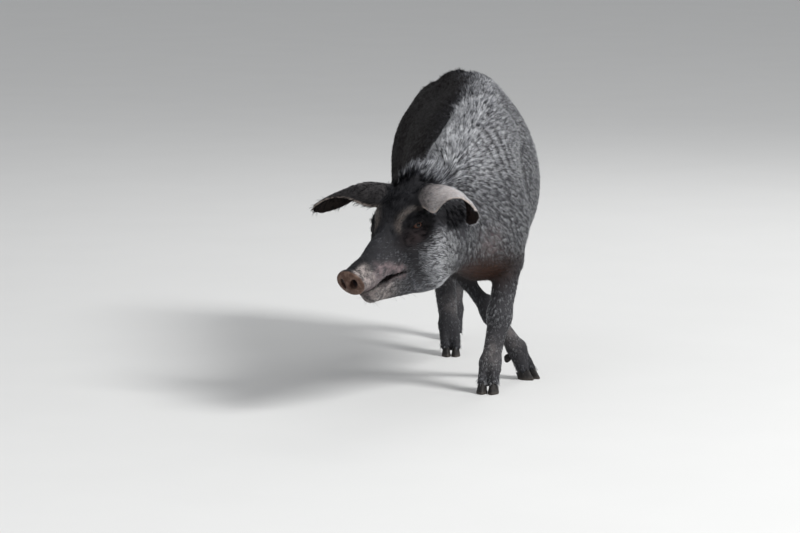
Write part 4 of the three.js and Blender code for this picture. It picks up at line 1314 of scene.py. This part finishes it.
def tuftMesh(kind, number):
    shape = tuftShapes[kind]
    rng = np.random.default_rng(100 * len(kind) + number)
    bent = shape["bend"] > 0
    points, faces, rises, strands, uvs = [], [], [], [], []
    count = shape["bristles"]
    for b in range(count):
        reach = rng.uniform(0.72, 1.05)
        x = shape["spread"] * ((b + 0.5) / count * 2 - 1 if count > 1 else 0) + rng.normal(0, 0.0003)
        back = rng.uniform(-0.1, 0.12)
        lean = shape["fan"] * rng.normal(0, 1)
        lift = rng.normal(0, 0.035)
        levels = ((0, 1.0), (0.55, 0.72), (1, 0)) if bent else ((0, 1.0), (1, 0))
        first = len(points)
        for t, size in levels:
            y = back + reach * t
            centre = np.array([x, y, 0])
            centre[0] += lean * t * 0.025
            centre[2] += (lift * t + shape["bend"] * t * t) * 0.02
            ring = 3 if size else 1
            for i in range(ring):
                a = 2 * math.pi * i / 3 + math.pi / 2
                wide, thick = shape["width"] / 2 * size, shape["thick"] / 2 * size
                off = (wide * math.cos(a), 0, thick * math.sin(a))
                points.append(centre + off if size else centre)
                rises.append(t)
                strands.append((b * 0.618 + number * 0.37) % 1)
                uvs.append(((b + 0.5 + 0.3 * math.cos(a)) / count - 0.5, y * 0.8 - 0.4))
        faces.append((first, first + 1, first + 2))
        rings = len(levels) - 1
        for r in range(rings - 1):
            for i in range(3):
                here, beside = first + 3 * r + i, first + 3 * r + (i + 1) % 3
                faces += [(here, here + 3, beside), (beside, here + 3, beside + 3)]
        tip, last = first + 3 * rings, first + 3 * (rings - 1)
        faces += [(last + i, tip, last + (i + 1) % 3) for i in range(3)]
    obj = meshObject(f"{kind}Tuft{number}", points, faces, smooth=True)
    storeAttribute(obj.data, "rise", "FLOAT", np.array(rises, np.float32))
    storeAttribute(obj.data, "strand", "FLOAT", np.array(strands, np.float32))
    storeAttribute(obj.data, "tuftUv", "FLOAT_VECTOR", np.array([(u, v, 0) for u, v in uvs], np.float32))
    return obj


def tuftCollection(kind):
    box = bpy.data.collections.new(f"{kind}Tufts")
    for number in range(tuftShapes[kind]["kinds"]):
        obj = tuftMesh(kind, number)
        bpy.context.scene.collection.objects.unlink(obj)
        box.objects.link(obj)
    return box


class Plan:  # the nodes of one geometry tree
    def __init__(self, name, inputs):
        self.tree = bpy.data.node_groups.new(name, "GeometryNodeTree")
        face = self.tree.interface
        face.new_socket("Geometry", in_out="OUTPUT", socket_type="NodeSocketGeometry")
        face.new_socket("Geometry", in_out="INPUT", socket_type="NodeSocketGeometry")
        self.ids = {}
        for key, (kind, value) in inputs.items():
            item = face.new_socket(key, in_out="INPUT", socket_type=kind)
            if value is not None:
                item.default_value = value
            self.ids[key] = item.identifier
        self.given = self.tree.nodes.new("NodeGroupInput").outputs

    def node(self, kind, settings=None, sockets=None):
        made = self.tree.nodes.new(kind)
        for key, value in (settings or {}).items():
            setattr(made, key, value)
        for key, value in (sockets or {}).items():
            if isinstance(value, bpy.types.NodeSocket):
                self.tree.links.new(value, made.inputs[key])
            else:
                made.inputs[key].default_value = value
        return made

    def first(self, kind, settings=None, sockets=None):  # a node's first output
        return self.node(kind, settings, sockets).outputs[0]

    def named(self, name, kind="FLOAT"):
        settings = {"data_type": kind}
        return self.node("GeometryNodeInputNamedAttribute", settings, {"Name": name}).outputs["Attribute"]

    def stored(self, geometry, name, value, kind="FLOAT", domain="POINT"):
        sockets = {"Geometry": geometry, "Name": name, "Value": value}
        return self.first("GeometryNodeStoreNamedAttribute", {"data_type": kind, "domain": domain}, sockets)

    def sum(self, *vectors):
        total = vectors[0]
        for v in vectors[1:]:
            total = self.first("ShaderNodeVectorMath", {"operation": "ADD"}, {0: total, 1: v})
        return total

    def times(self, vector, factor):
        return self.first("ShaderNodeVectorMath", {"operation": "SCALE"}, {0: vector, "Scale": factor})

    def product(self, a, b):
        return self.first("ShaderNodeMath", {"operation": "MULTIPLY"}, {0: a, 1: b})

    def chance(self, low, high, seed, kind="FLOAT"):
        made = self.node("FunctionNodeRandomValue", {"data_type": kind}, {"Seed": seed})
        least, most, out = {"FLOAT": (2, 3, 1), "FLOAT_VECTOR": (0, 1, 0), "INT": (4, 5, 2)}[kind]
        made.inputs[least].default_value, made.inputs[most].default_value = low, high
        return made.outputs[out]


def makeTuftTree():
    p = Plan(
        "growTufts",
        {
            "Density": ("NodeSocketFloat", 1000.0),
            "Seed": ("NodeSocketInt", 1),
            "Tufts": ("NodeSocketCollection", None),
            "Ruffle": ("NodeSocketFloat", 0.06),
            "Clumping": ("NodeSocketFloat", 0.5),
            "Clump Scale": ("NodeSocketFloat", 110.0),
            "Sink": ("NodeSocketFloat", 0.0008),
            "Finish": ("NodeSocketMaterial", None),
        },
    )
    g = p.given
    spread = p.node(
        "GeometryNodeDistributePointsOnFaces",
        {"distribute_method": "RANDOM"},
        {"Mesh": g["Geometry"], "Density": p.product(g["Density"], p.named("want")), "Seed": g["Seed"]},
    )
    roots = p.stored(spread.outputs["Points"], "up", spread.outputs["Normal"], "FLOAT_VECTOR")
    up, lie = p.named("up", "FLOAT_VECTOR"), p.named("lie", "FLOAT_VECTOR")
    place = p.first("GeometryNodeInputPosition")
    wave = p.node("ShaderNodeTexNoise", None, {"Vector": place, "Scale": g["Clump Scale"], "Detail": 1.0})
    clump = p.times(p.sum(wave.outputs["Color"], (-0.5, -0.5, -0.5)), g["Clumping"])
    toss = p.times(p.chance((-1, -1, -1), (1, 1, 1), 3, "FLOAT_VECTOR"), g["Ruffle"])
    stand = p.product(p.named("stand"), p.chance(0.45, 1.35, 4))
    way = p.sum(lie, p.times(up, stand), clump, toss)
    axes = {"primary_axis": "Y", "secondary_axis": "Z"}
    turn = p.first("FunctionNodeAxesToRotation", axes, {0: way, 1: up})
    length = p.product(p.named("hairLength"), p.chance(0.7, 1.2, 5))
    thick = p.named("hairThick")
    size = p.first("ShaderNodeCombineXYZ", None, {0: thick, 1: length, 2: thick})
    sink = p.times(up, p.product(g["Sink"], -1.0))
    roots = p.first("GeometryNodeSetPosition", None, {"Geometry": roots, "Offset": sink})
    roots = p.stored(roots, "clump", wave.outputs["Fac"])
    roots = p.stored(roots, "tone", p.chance(0.0, 1.0, 8))
    shapes = {"Collection": g["Tufts"], "Separate Children": True, "Reset Children": True}
    grown = p.first(
        "GeometryNodeInstanceOnPoints",
        None,
        {
            "Points": roots,
            "Instance": p.first("GeometryNodeCollectionInfo", None, shapes),
            "Pick Instance": True,
            "Instance Index": p.chance(0, 30, 6, "INT"),
            "Rotation": turn,
            "Scale": size,
        },
    )
    real = p.first("GeometryNodeRealizeInstances", None, {"Geometry": grown})
    patch = p.times(p.named("tuftUv", "FLOAT_VECTOR"), 0.003)
    baked = p.stored(real, "OFBake", p.sum(p.named("rootUv", "FLOAT_VECTOR"), patch), "FLOAT2", "CORNER")
    p.node(
        "NodeGroupOutput",
        None,
        {0: p.first("GeometryNodeSetMaterial", None, {"Geometry": baked, "Material": g["Finish"]})},
    )
    return p


tuftTree = makeTuftTree()
tuftBoxes = {kind: tuftCollection(kind) for kind in tuftShapes}
keptTraits = ("rise", "strand", "clump", "tone", "silver", "warm", "pale", "tan", "rosy", "OFBake")
keptTraits += ("sharp_face", "material_index", "sharp_edge")


def growCoat(name, row, density, share, seed):
    mesh = skinMesh.copy()
    ones = np.ones(len(mesh.vertices), np.float32)
    values = {"want": share["want"], "hairLength": share["length"] / 1000, "stand": share["stand"]}
    for key, value in {**values, "hairThick": row["thick"]}.items():
        storeAttribute(mesh, key, "FLOAT", (ones * value).astype(np.float32))
    obj = bpy.data.objects.new(name, mesh)
    bpy.context.scene.collection.objects.link(obj)
    grow = obj.modifiers.new("grow", "NODES")
    grow.node_group = tuftTree.tree
    chosen = {
        "Density": float(density) * 1.0,
        "Seed": seed,
        "Tufts": tuftBoxes[row["tuft"]],
        "Ruffle": row["ruffle"],
        "Clumping": row["clumping"],
        "Finish": row["finish"],
    }
    for key, value in chosen.items():
        grow[tuftTree.ids[key]] = value
    made = evaluated(obj, name)
    obj.modifiers.clear()
    obj.data = made
    bpy.data.meshes.remove(mesh)
    for attribute in [a.name for a in made.attributes if a.name not in keptTraits]:
        spare = made.attributes[attribute]
        if not spare.is_internal and not spare.is_required:
            made.attributes.remove(spare)
    report(name, len(made.polygons), "faces")
    return obj


# The coat
coatPlan = {  # tufts to the square metre, millimetres long, and how far they stand out
    "body": {"density": 43000, "length": 21, "stand": 0.13},
    "ridge": {"density": 9000, "length": 33, "stand": 0.5},
    "head": {"density": 56000, "length": 17, "stand": 0.12},
    "leg": {"density": 36000, "length": 14, "stand": 0.10},
    "ear": {"density": 42000, "length": 9, "stand": 0.22},
    "fringe": {"density": 26000, "length": 17, "stand": 0.75},
    "whisker": {"density": 4200, "length": 24, "stand": 0.7},
}


def coatShares():
    p, q, w = skinPoints, traits["q"], traits
    head, leg, isEar = w["head"], w["leg"], w["ear"]
    onEar = isEar > 0.4
    body = (1 - head) * (1 - leg)
    bare = np.zeros(len(p))
    for side in (1, -1):
        t, u, v = eyeCoords(q, side)
        gap = np.sqrt((t / 1.3) ** 2 + u**2 + v**2)
        bare = np.maximum(bare, 1 - ramp(gap, 14, 22))
    bare = np.maximum(bare, ramp(q[:, 0], 274, 292) * head)
    bare = np.maximum(bare, marks["inside"])
    bare = np.maximum(bare, marks["disc"])
    sole = p[:, 2] < 24
    skinny = (1 - bare) * ~sole
    warm = marks["warm"]
    length = coatPlan["body"]["length"] * (1 - 0.1 * ramp(p[:, 1], 300, 700)) * (1 - 0.35 * warm)
    top = 1 - ramp(np.abs(w["angle"]), 0.08, 0.35)
    shares = {}
    shares["body"] = {
        "want": np.where(onEar | (w["tail"] > 0.5), 0, ramp(body, 0.15, 0.5)) * skinny * (1 - 0.55 * warm),
        "length": length * (0.55 + 0.45 * body),
        "stand": coatPlan["body"]["stand"] * (1 + 0.6 * top),
    }
    crest = top * body * ramp(p[:, 1], -150, -60) * (1 - ramp(p[:, 1], 720, 800))
    fore = 1 - ramp(p[:, 1], 60, 260)
    poll = w["poll"]
    shares["ridge"] = {
        "want": np.where(onEar, 0, np.maximum(crest * (0.45 + 0.55 * fore), 2.4 * poll)),
        "length": coatPlan["ridge"]["length"] * (0.7 + 0.3 * fore + 0.2 * poll),
        "stand": coatPlan["ridge"]["stand"] * (0.6 + 0.2 * fore + 0.2 * poll),
    }
    shorter = 1 - 0.62 * ramp(q[:, 0], 100, 240)
    wanted = np.where(onEar, 0, head * (1 - leg) * (1 - ramp(body, 0.3, 0.6))) * skinny
    for mark, thinner in (("rosy", 0.65), ("tan", 0.3), ("dusk", 0.6)):
        wanted = wanted * (1 - thinner * marks[mark])
    shares["head"] = {
        "want": wanted,
        "length": coatPlan["head"]["length"] * shorter * (1 + 0.5 * ramp(-q[:, 0], -60, 30)),
        "stand": coatPlan["head"]["stand"],
    }
    atHoof = 1 - ramp(p[:, 2], 26, 50)
    shares["leg"] = {
        "want": np.where(onEar, 0, leg * (1 - ramp(body, 0.25, 0.6))) * skinny * (1 - 0.5 * warm),
        "length": coatPlan["leg"]["length"] * (0.72 + 0.8 * ramp(p[:, 2], 120, 340) + 0.35 * atHoof),
        "stand": coatPlan["leg"]["stand"] * (1 + 3.2 * atHoof),
    }
    shares["ear"] = {
        "want": onEar * (0.35 + 0.65 * w["earOuter"]),
        "length": coatPlan["ear"]["length"] * (1.15 - 0.3 * w["earT"]),
        "stand": coatPlan["ear"]["stand"],
    }
    rim = ramp(np.abs(w["earX"]), 0.82, 0.95) * onEar
    foreRim = (w["earX"] > 0) * (1 - ramp(w["earT"], 0.7, 0.95))
    shares["fringe"] = {
        "want": rim * (0.3 + 0.7 * foreRim) + 0.25 * onEar * (1 - w["earOuter"]),
        "length": coatPlan["fringe"]["length"] * (0.7 + 0.3 * (w["earSide"] < 0)),
        "stand": coatPlan["fringe"]["stand"],
    }
    mouthHeight = mouthLine(q[:, 0])
    chin = head * (q[:, 2] < mouthHeight - 4) * ramp(q[:, 0], 120, 230) * (1 - ramp(q[:, 0], 288, 300))
    lip = head * ramp(q[:, 0], 215, 250) * (1 - ramp(q[:, 0], 285, 300))
    lip = lip * (q[:, 2] > mouthHeight + 6) * (q[:, 2] < 8)
    shares["whisker"] = {
        "want": (chin + 0.35 * lip) * skinny,
        "length": coatPlan["whisker"]["length"] * (0.6 + 0.4 * (chin > 0)),
        "stand": coatPlan["whisker"]["stand"],
    }
    return shares


def triangleAreas(mesh):
    co, loops = coordinates(mesh), loopVertices(mesh).reshape(-1, 3)
    a, b, c = co[loops[:, 0]], co[loops[:, 1]], co[loops[:, 2]]
    return loops, np.linalg.norm(np.cross(b - a, c - a), axis=1) / 2


def splitShares(want, density, faces, most):  # slices along the body of equal numbers of tufts
    loops, areas = triangleAreas(skinMesh)
    expected = areas * want[loops].mean(1) * density
    total = expected.sum()
    pieces = max(1, math.ceil(total * faces / most))
    key = skinPoints[loops[:, 0], 1]
    order = np.argsort(key)
    filled = np.cumsum(expected[order]) / total
    edges = [key[order][np.searchsorted(filled, i / pieces)] for i in range(1, pieces)]
    edges = [-1e9, *edges, 1e9]
    return [want * (skinPoints[:, 1] >= a) * (skinPoints[:, 1] < b) for a, b in zip(edges, edges[1:])]


shares = coatShares()
tuftFaces = {"coat": 20, "mane": 50, "short": 16, "whisker": 10}
mostFaces = 185000  # a coat with more is made in slices
growColumns = ("tuft", "share", "thick", "ruffle", "clumping", "finish")
growRows = {
    "bodyCoat": ("coat", "body", 1.0, 0.05, 0.06, coatMaterial),
    "ridgeMane": ("mane", "ridge", 1.0, 0.16, 0.5, coatMaterial),
    "headCoat": ("short", "head", 1.1, 0.06, 0.12, shortCoatMaterial),
    "legCoat": ("coat", "leg", 0.85, 0.06, 0.12, shortCoatMaterial),
    "earCoat": ("short", "ear", 1.0, 0.08, 0.15, shortCoatMaterial),
    "earFringe": ("short", "fringe", 1.0, 0.25, 0.5, coatMaterial),
    "whiskers": ("whisker", "whisker", 0.8, 0.25, 0.2, shortCoatMaterial),
}
coats = []
for number, (name, values) in enumerate(growRows.items()):
    row = dict(zip(growColumns, values))
    share, density = shares[row["share"]], coatPlan[row["share"]]["density"]
    slices = splitShares(share["want"], density, tuftFaces[row["tuft"]], mostFaces)
    for i, want in enumerate(slices):
        title = name if len(slices) == 1 else f"{name}{i + 1}"
        coats.append(growCoat(title, row, density, {**share, "want": want}, 10 * number + i + 1))


# Rings of points made into a closed shell
def closeRings(rings, first=0, ends=None):  # the ends are the middles of the outer rings unless given
    sides = len(rings[0])
    low, high = ends or (rings[0].mean(0), rings[-1].mean(0))
    points = [low, *[p for r in rings for p in r], high]
    tri = []
    for i in range(sides):
        j = (i + 1) % sides
        tri.append((0, 1 + j, 1 + i))
        for k in range(len(rings) - 1):
            a, b = 1 + k * sides + i, 1 + k * sides + j
            tri += [(a, b, a + sides), (b, b + sides, a + sides)]
        last = 1 + (len(rings) - 1) * sides
        tri.append((last + i, last + j, len(points) - 1))
    return points, (np.array(tri) + first).tolist()


# Eyes
eyeball = {"sides": 40, "levels": 24, "bulge": 0.9, "bulgeTo": 0.62}  # the cornea ends at bulgeTo radians


def makeEyeMaterial():
    s = Sheet("eyeball")
    ring = s.trait("ring")
    where = s.place()
    rays = s.noise(where, 900, 2)
    stops = [
        (0.0, (0.004, 0.003, 0.003)),
        (0.10, (0.004, 0.003, 0.003)),
        (0.125, (0.080, 0.031, 0.017)),
        (0.24, (0.056, 0.022, 0.013)),
        (0.29, (0.014, 0.007, 0.006)),
        (0.36, (0.060, 0.030, 0.024)),
        (1.0, (0.110, 0.055, 0.048)),
    ]
    shaken = ring + (rays - 0.5) * 0.02
    colour = s.wire("ShaderNodeValToRGB", {"stops": stops}, {"Fac": shaken}, "Color")
    return s.finish(Base_Color=colour, Roughness=0.1, Specular_IOR_Level=0.3)


eyeMaterial = makeEyeMaterial()
for side, label in ((1, "left"), (-1, "right")):
    out = eyeAxes(side)[2]
    aside = unit(np.cross(out, (1, 0, 0)))
    rows = np.stack([aside, np.cross(out, aside), out]) @ headRows
    rings = []
    around = np.arange(eyeball["sides"]) * 2 * math.pi / eyeball["sides"]
    for k in range(eyeball["levels"], -1, -1):  # from the back of the ball to the middle of the cornea
        a = math.pi * k / eyeball["levels"]
        r = eye["radius"] + eyeball["bulge"] * max(0, 1 - (a / eyeball["bulgeTo"]) ** 2) ** 2
        wide, high = r * math.sin(a), np.full(eyeball["sides"], r * math.cos(a))
        rings.append(np.stack([wide * np.cos(around), wide * np.sin(around), high], 1))
    ends = [np.array([0, 0, ring[0, 2]]) for ring in (rings[0], rings[-1])]
    local, faces = closeRings(rings[1:-1], ends=ends)
    local = np.array(local)
    points = toRow(local @ rows + fromHead(flip(eye["at"], side)))
    ball = meshObject(f"{label}Eyeball", points, faces, eyeMaterial, smooth=True)
    away = np.arctan2(np.hypot(local[:, 0], local[:, 1]), local[:, 2]) / math.pi
    storeAttribute(ball.data, "ring", "FLOAT", away.astype(np.float32))
    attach(ball, "root")
    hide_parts(f"{label}_eye")
report("eyes")


# Hooves: two claws and two dewclaws to a foot
def makeHornMaterial():
    s = Sheet("hoofHorn")
    where = s.place()
    mottle = s.noise(where, 160, 3)
    height = s.wire("ShaderNodeSeparateXYZ", None, {0: where}, "Z")
    bands = s.noise(s.scaled(where, (60, 60, 900)), 1, 2)
    streaks = s.noise(s.scaled(where, (700, 700, 70)), 1, 2)
    colour = s.blend(mottle.rising(0.35, 0.7), (0.010, 0.009, 0.009), (0.034, 0.031, 0.029))
    worn = 1 - (height * 1000).rising(0.5, 9)
    colour = s.blend(worn * (0.3 + 0.7 * streaks), colour, (0.075, 0.062, 0.052))
    normal = s.bump(bands * 0.7 + streaks * 0.5, 0.0012, 0.8)
    rough = 0.5 + mottle * 0.2
    return s.finish(Base_Color=colour, Roughness=rough, Normal=normal, Specular_IOR_Level=0.25)


hornMaterial = makeHornMaterial()
hoof = {"sides": 44, "levels": 16, "ridge": 0.35, "forward": 7, "sole": 0.94, "wideAt": 3.5, "waves": 31}


def clawRings(leg, side):
    size = 1 if leg["fore"] else hindScale
    origin, rows = footAxes(leg)
    a = 2 * math.pi * np.arange(hoof["sides"]) / hoof["sides"]
    ahead = np.maximum(np.cos(a), 0)
    pinch = 1 - 0.32 * ahead**2

    def ring(scale, shift):
        x = shift + claw["length"] / 2 * np.cos(a) * scale
        y = side * claw["side"] + claw["width"] / 2 * np.sin(a) * scale * pinch - side * 2 * ahead
        return np.stack([x, y, np.zeros(len(x))], 1) * size

    bottom = ring(hoof["sole"], hoof["forward"])
    wide, top = ring(1, hoof["forward"]), ring(claw["taper"], hoof["forward"] - claw["slope"])
    wide[:, 2] = hoof["wideAt"] * size
    top[:, 2] = (coronetHeight(top[:, 0] / size) - 0.3) * size
    middle = bottom.mean(0)
    rings = [middle + (bottom - middle) * k + (0, 0, 0.6 * (1 - k)) for k in (0.35, 0.75, 0.93)]
    rings += [bottom, bottom * 0.5 + wide * 0.5 + (wide - bottom) * (0.2, 0.2, -0.2), wide]
    for k in range(1, hoof["levels"] + 1):
        t = k / hoof["levels"]
        now = wide + (top - wide) * t
        centre = now.mean(0)
        swell = 1 - 0.02 * math.sin(math.pi * t)
        swell += hoof["ridge"] / 24 * math.sin(t * hoof["waves"]) * math.sin(math.pi * t)
        rings.append(centre + (now - centre) * (swell, swell, 1))
    centre = top.mean(0)
    rings += [centre + (top - centre) * k + (0, 0, 0.8) for k in (0.9, 0.5)]
    return [r @ rows + origin for r in rings]


def dewclawRings(leg, side):
    origin, rows = footAxes(leg)
    fetlock = np.array(leg["joints"][-1][0], float)
    base = origin + (fetlock - origin) * dewclaw["height"] / fetlock[2]
    turn, sides, levels = math.radians(dewclaw["lean"]), dewclaw["sides"], dewclaw["levels"]
    b = 2 * math.pi * np.arange(sides) / sides
    rings = []
    for k in range(1, levels):
        a = math.pi * k / levels
        point = 1 - 0.25 * max(0, math.cos(a))  # blunter above, pointed below
        r = dewclaw["radius"] * math.sin(a) * point
        x, y, z = 1.15 * r * np.cos(b), r * np.sin(b), -dewclaw["length"] / 2 * math.cos(a)
        x, z = x * math.cos(turn) + z * math.sin(turn), z * math.cos(turn) - x * math.sin(turn)
        ring = np.stack([x - dewclaw["behind"], y + side * dewclaw["side"], z], 1)
        rings.append(ring @ rows + base)
    return rings


for name, leg in legs.items():
    points, faces = [], []
    for side in (1, -1):
        for rings in (clawRings(leg, side), dewclawRings(leg, side)):
            more, tri = closeRings(rings, len(points))
            points += more
            faces += tri
    first, second = name.split("_")
    foot = meshObject(f"{first}{second.capitalize()}Hoof", toRow(points), faces, hornMaterial, smooth=True)
    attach(foot, "root")
    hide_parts(*(f"{name}_{s}_{kind}" for s in ("left", "right") for kind in ("claw", "dewclaw")))
report("hooves")

# Lashes
lashShape = {"count": 16, "length": 7.5, "width": 0.55}


def makeLashes():
    points, faces = [], []
    rng = np.random.default_rng(12)
    count, levels = lashShape["count"], ((0, 1), (0.5, 0.8), (1, 0))
    for side in (1, -1):
        axes = np.stack(eyeAxes(side))
        for i in range(count):
            t = lids["halfWidth"] * 0.85 * (2 * (i + 0.5) / count - 1) + rng.normal(0, 0.2)
            u = math.sqrt(lidArc**2 - t * t) - (lidArc - lids["halfHeight"])
            w = math.sqrt(max((eye["radius"] + 1.6) ** 2 - t * t - u * u, 1))
            root = np.array([t, u + 0.2, w])
            reach = lashShape["length"] * rng.uniform(0.8, 1.1)
            fan = np.array([0.35 * t / lids["halfWidth"] + rng.normal(0, 0.08), 0.1, 1.0])
            first = len(points)
            for s, size in levels:
                centre = root + reach * (fan * s + np.array([0, 0.45 * s * s, -0.15 * s * s]))
                for k in range(3 if size else 1):
                    a = 2 * math.pi * k / 3
                    off = np.array([math.cos(a), math.sin(a), 0]) * lashShape["width"] / 2 * size
                    points.append(fromHead(np.array(flip(eye["at"], side)) + (centre + off) @ axes))
            tip = first + 6
            faces.append((first, first + 1, first + 2))
            for k in range(3):
                a, b = first + k, first + (k + 1) % 3
                faces += [(a, a + 3, b), (b, a + 3, b + 3), (a + 3, tip, b + 3)]
    obj = meshObject("lashes", toRow(points), faces, smooth=True)
    bm = bmesh.new()
    bm.from_mesh(obj.data)
    bmesh.ops.recalc_face_normals(bm, faces=bm.faces)
    bm.to_mesh(obj.data)
    bm.free()
    return obj


def makeLashMaterial():
    s = Sheet("lashHair")
    colour = s.blend(s.noise(s.place(), 300, 2), (0.008, 0.007, 0.007), (0.03, 0.026, 0.024))
    return s.finish(Base_Color=colour, Roughness=0.4)


lashes = makeLashes()
lashes.data.materials.append(makeLashMaterial())
report("lashes")

# What stands for what
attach(skin, "root")
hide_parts("head", "neck", "trunk", "tail", "left_ear", "right_ear", "snout_disc", *legs)
for piece in (*coats, lashes):
    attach(piece, "root")

# Camera, floor and light
view = {"at": (-151, -7890, 1400), "down": 8, "lens": 157.5, "sensor": 36}
camera = bpy.data.objects.new("camera", bpy.data.cameras.new("camera"))
camera.data.lens, camera.data.sensor_width = view["lens"], view["sensor"]
camera.location = toRow(view["at"])
camera.rotation_euler = (math.radians(90 - view["down"]), 0, 0)
camera.data.clip_end = 60
bpy.context.scene.collection.objects.link(camera)
bpy.context.scene.camera = camera


def makeFloorMaterial():
    s = Sheet("paleFloor")
    shade = s.noise(s.place(), 3, 2)
    seen = s.wire("ShaderNodeLightPath", out="Is Camera Ray")
    glow = s.blend(seen, (0.0, 0.0, 0.0), (0.09, 0.09, 0.09))
    pale = s.blend(shade, (0.60, 0.60, 0.59), (0.63, 0.63, 0.62))
    return s.finish(Base_Color=pale, Roughness=0.9, Emission_Color=glow, Emission_Strength=1.0)


floorReach = 14
corners = [(x * floorReach, y * floorReach, 0) for x, y in ((-1, -1), (1, -1), (1, 1), (-1, 1))]
floor = meshObject("floor", corners, [(0, 1, 2, 3)])
floor.data.materials.append(makeFloorMaterial())
world = bpy.data.worlds.new("studio")
bpy.context.scene.world = world
world.use_nodes = True
sky = world.node_tree.nodes["Background"].inputs
sky["Color"].default_value, sky["Strength"].default_value = (0.95, 0.97, 1.0, 1), 0.4
lamps = {  # place, size and power
    "key": ((5.0, -3.2, 5.4), 2.4, 640),
    "fill": ((-2.2, -3.8, 1.8), 2.4, 24),
    "back": ((1.6, 3.2, 3.2), 2.0, 40),
}
for name, (at, size, power) in lamps.items():
    lamp = bpy.data.lights.new(name, "AREA")
    lamp.energy, lamp.size = power, size
    obj = bpy.data.objects.new(name, lamp)
    obj.location = at
    obj.rotation_euler = (Vector((0, 0, 0.4)) - Vector(at)).to_track_quat("-Z", "Y").to_euler()
    bpy.context.scene.collection.objects.link(obj)
bpy.context.scene.view_settings.view_transform = "Standard"

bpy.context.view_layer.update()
report("scene")
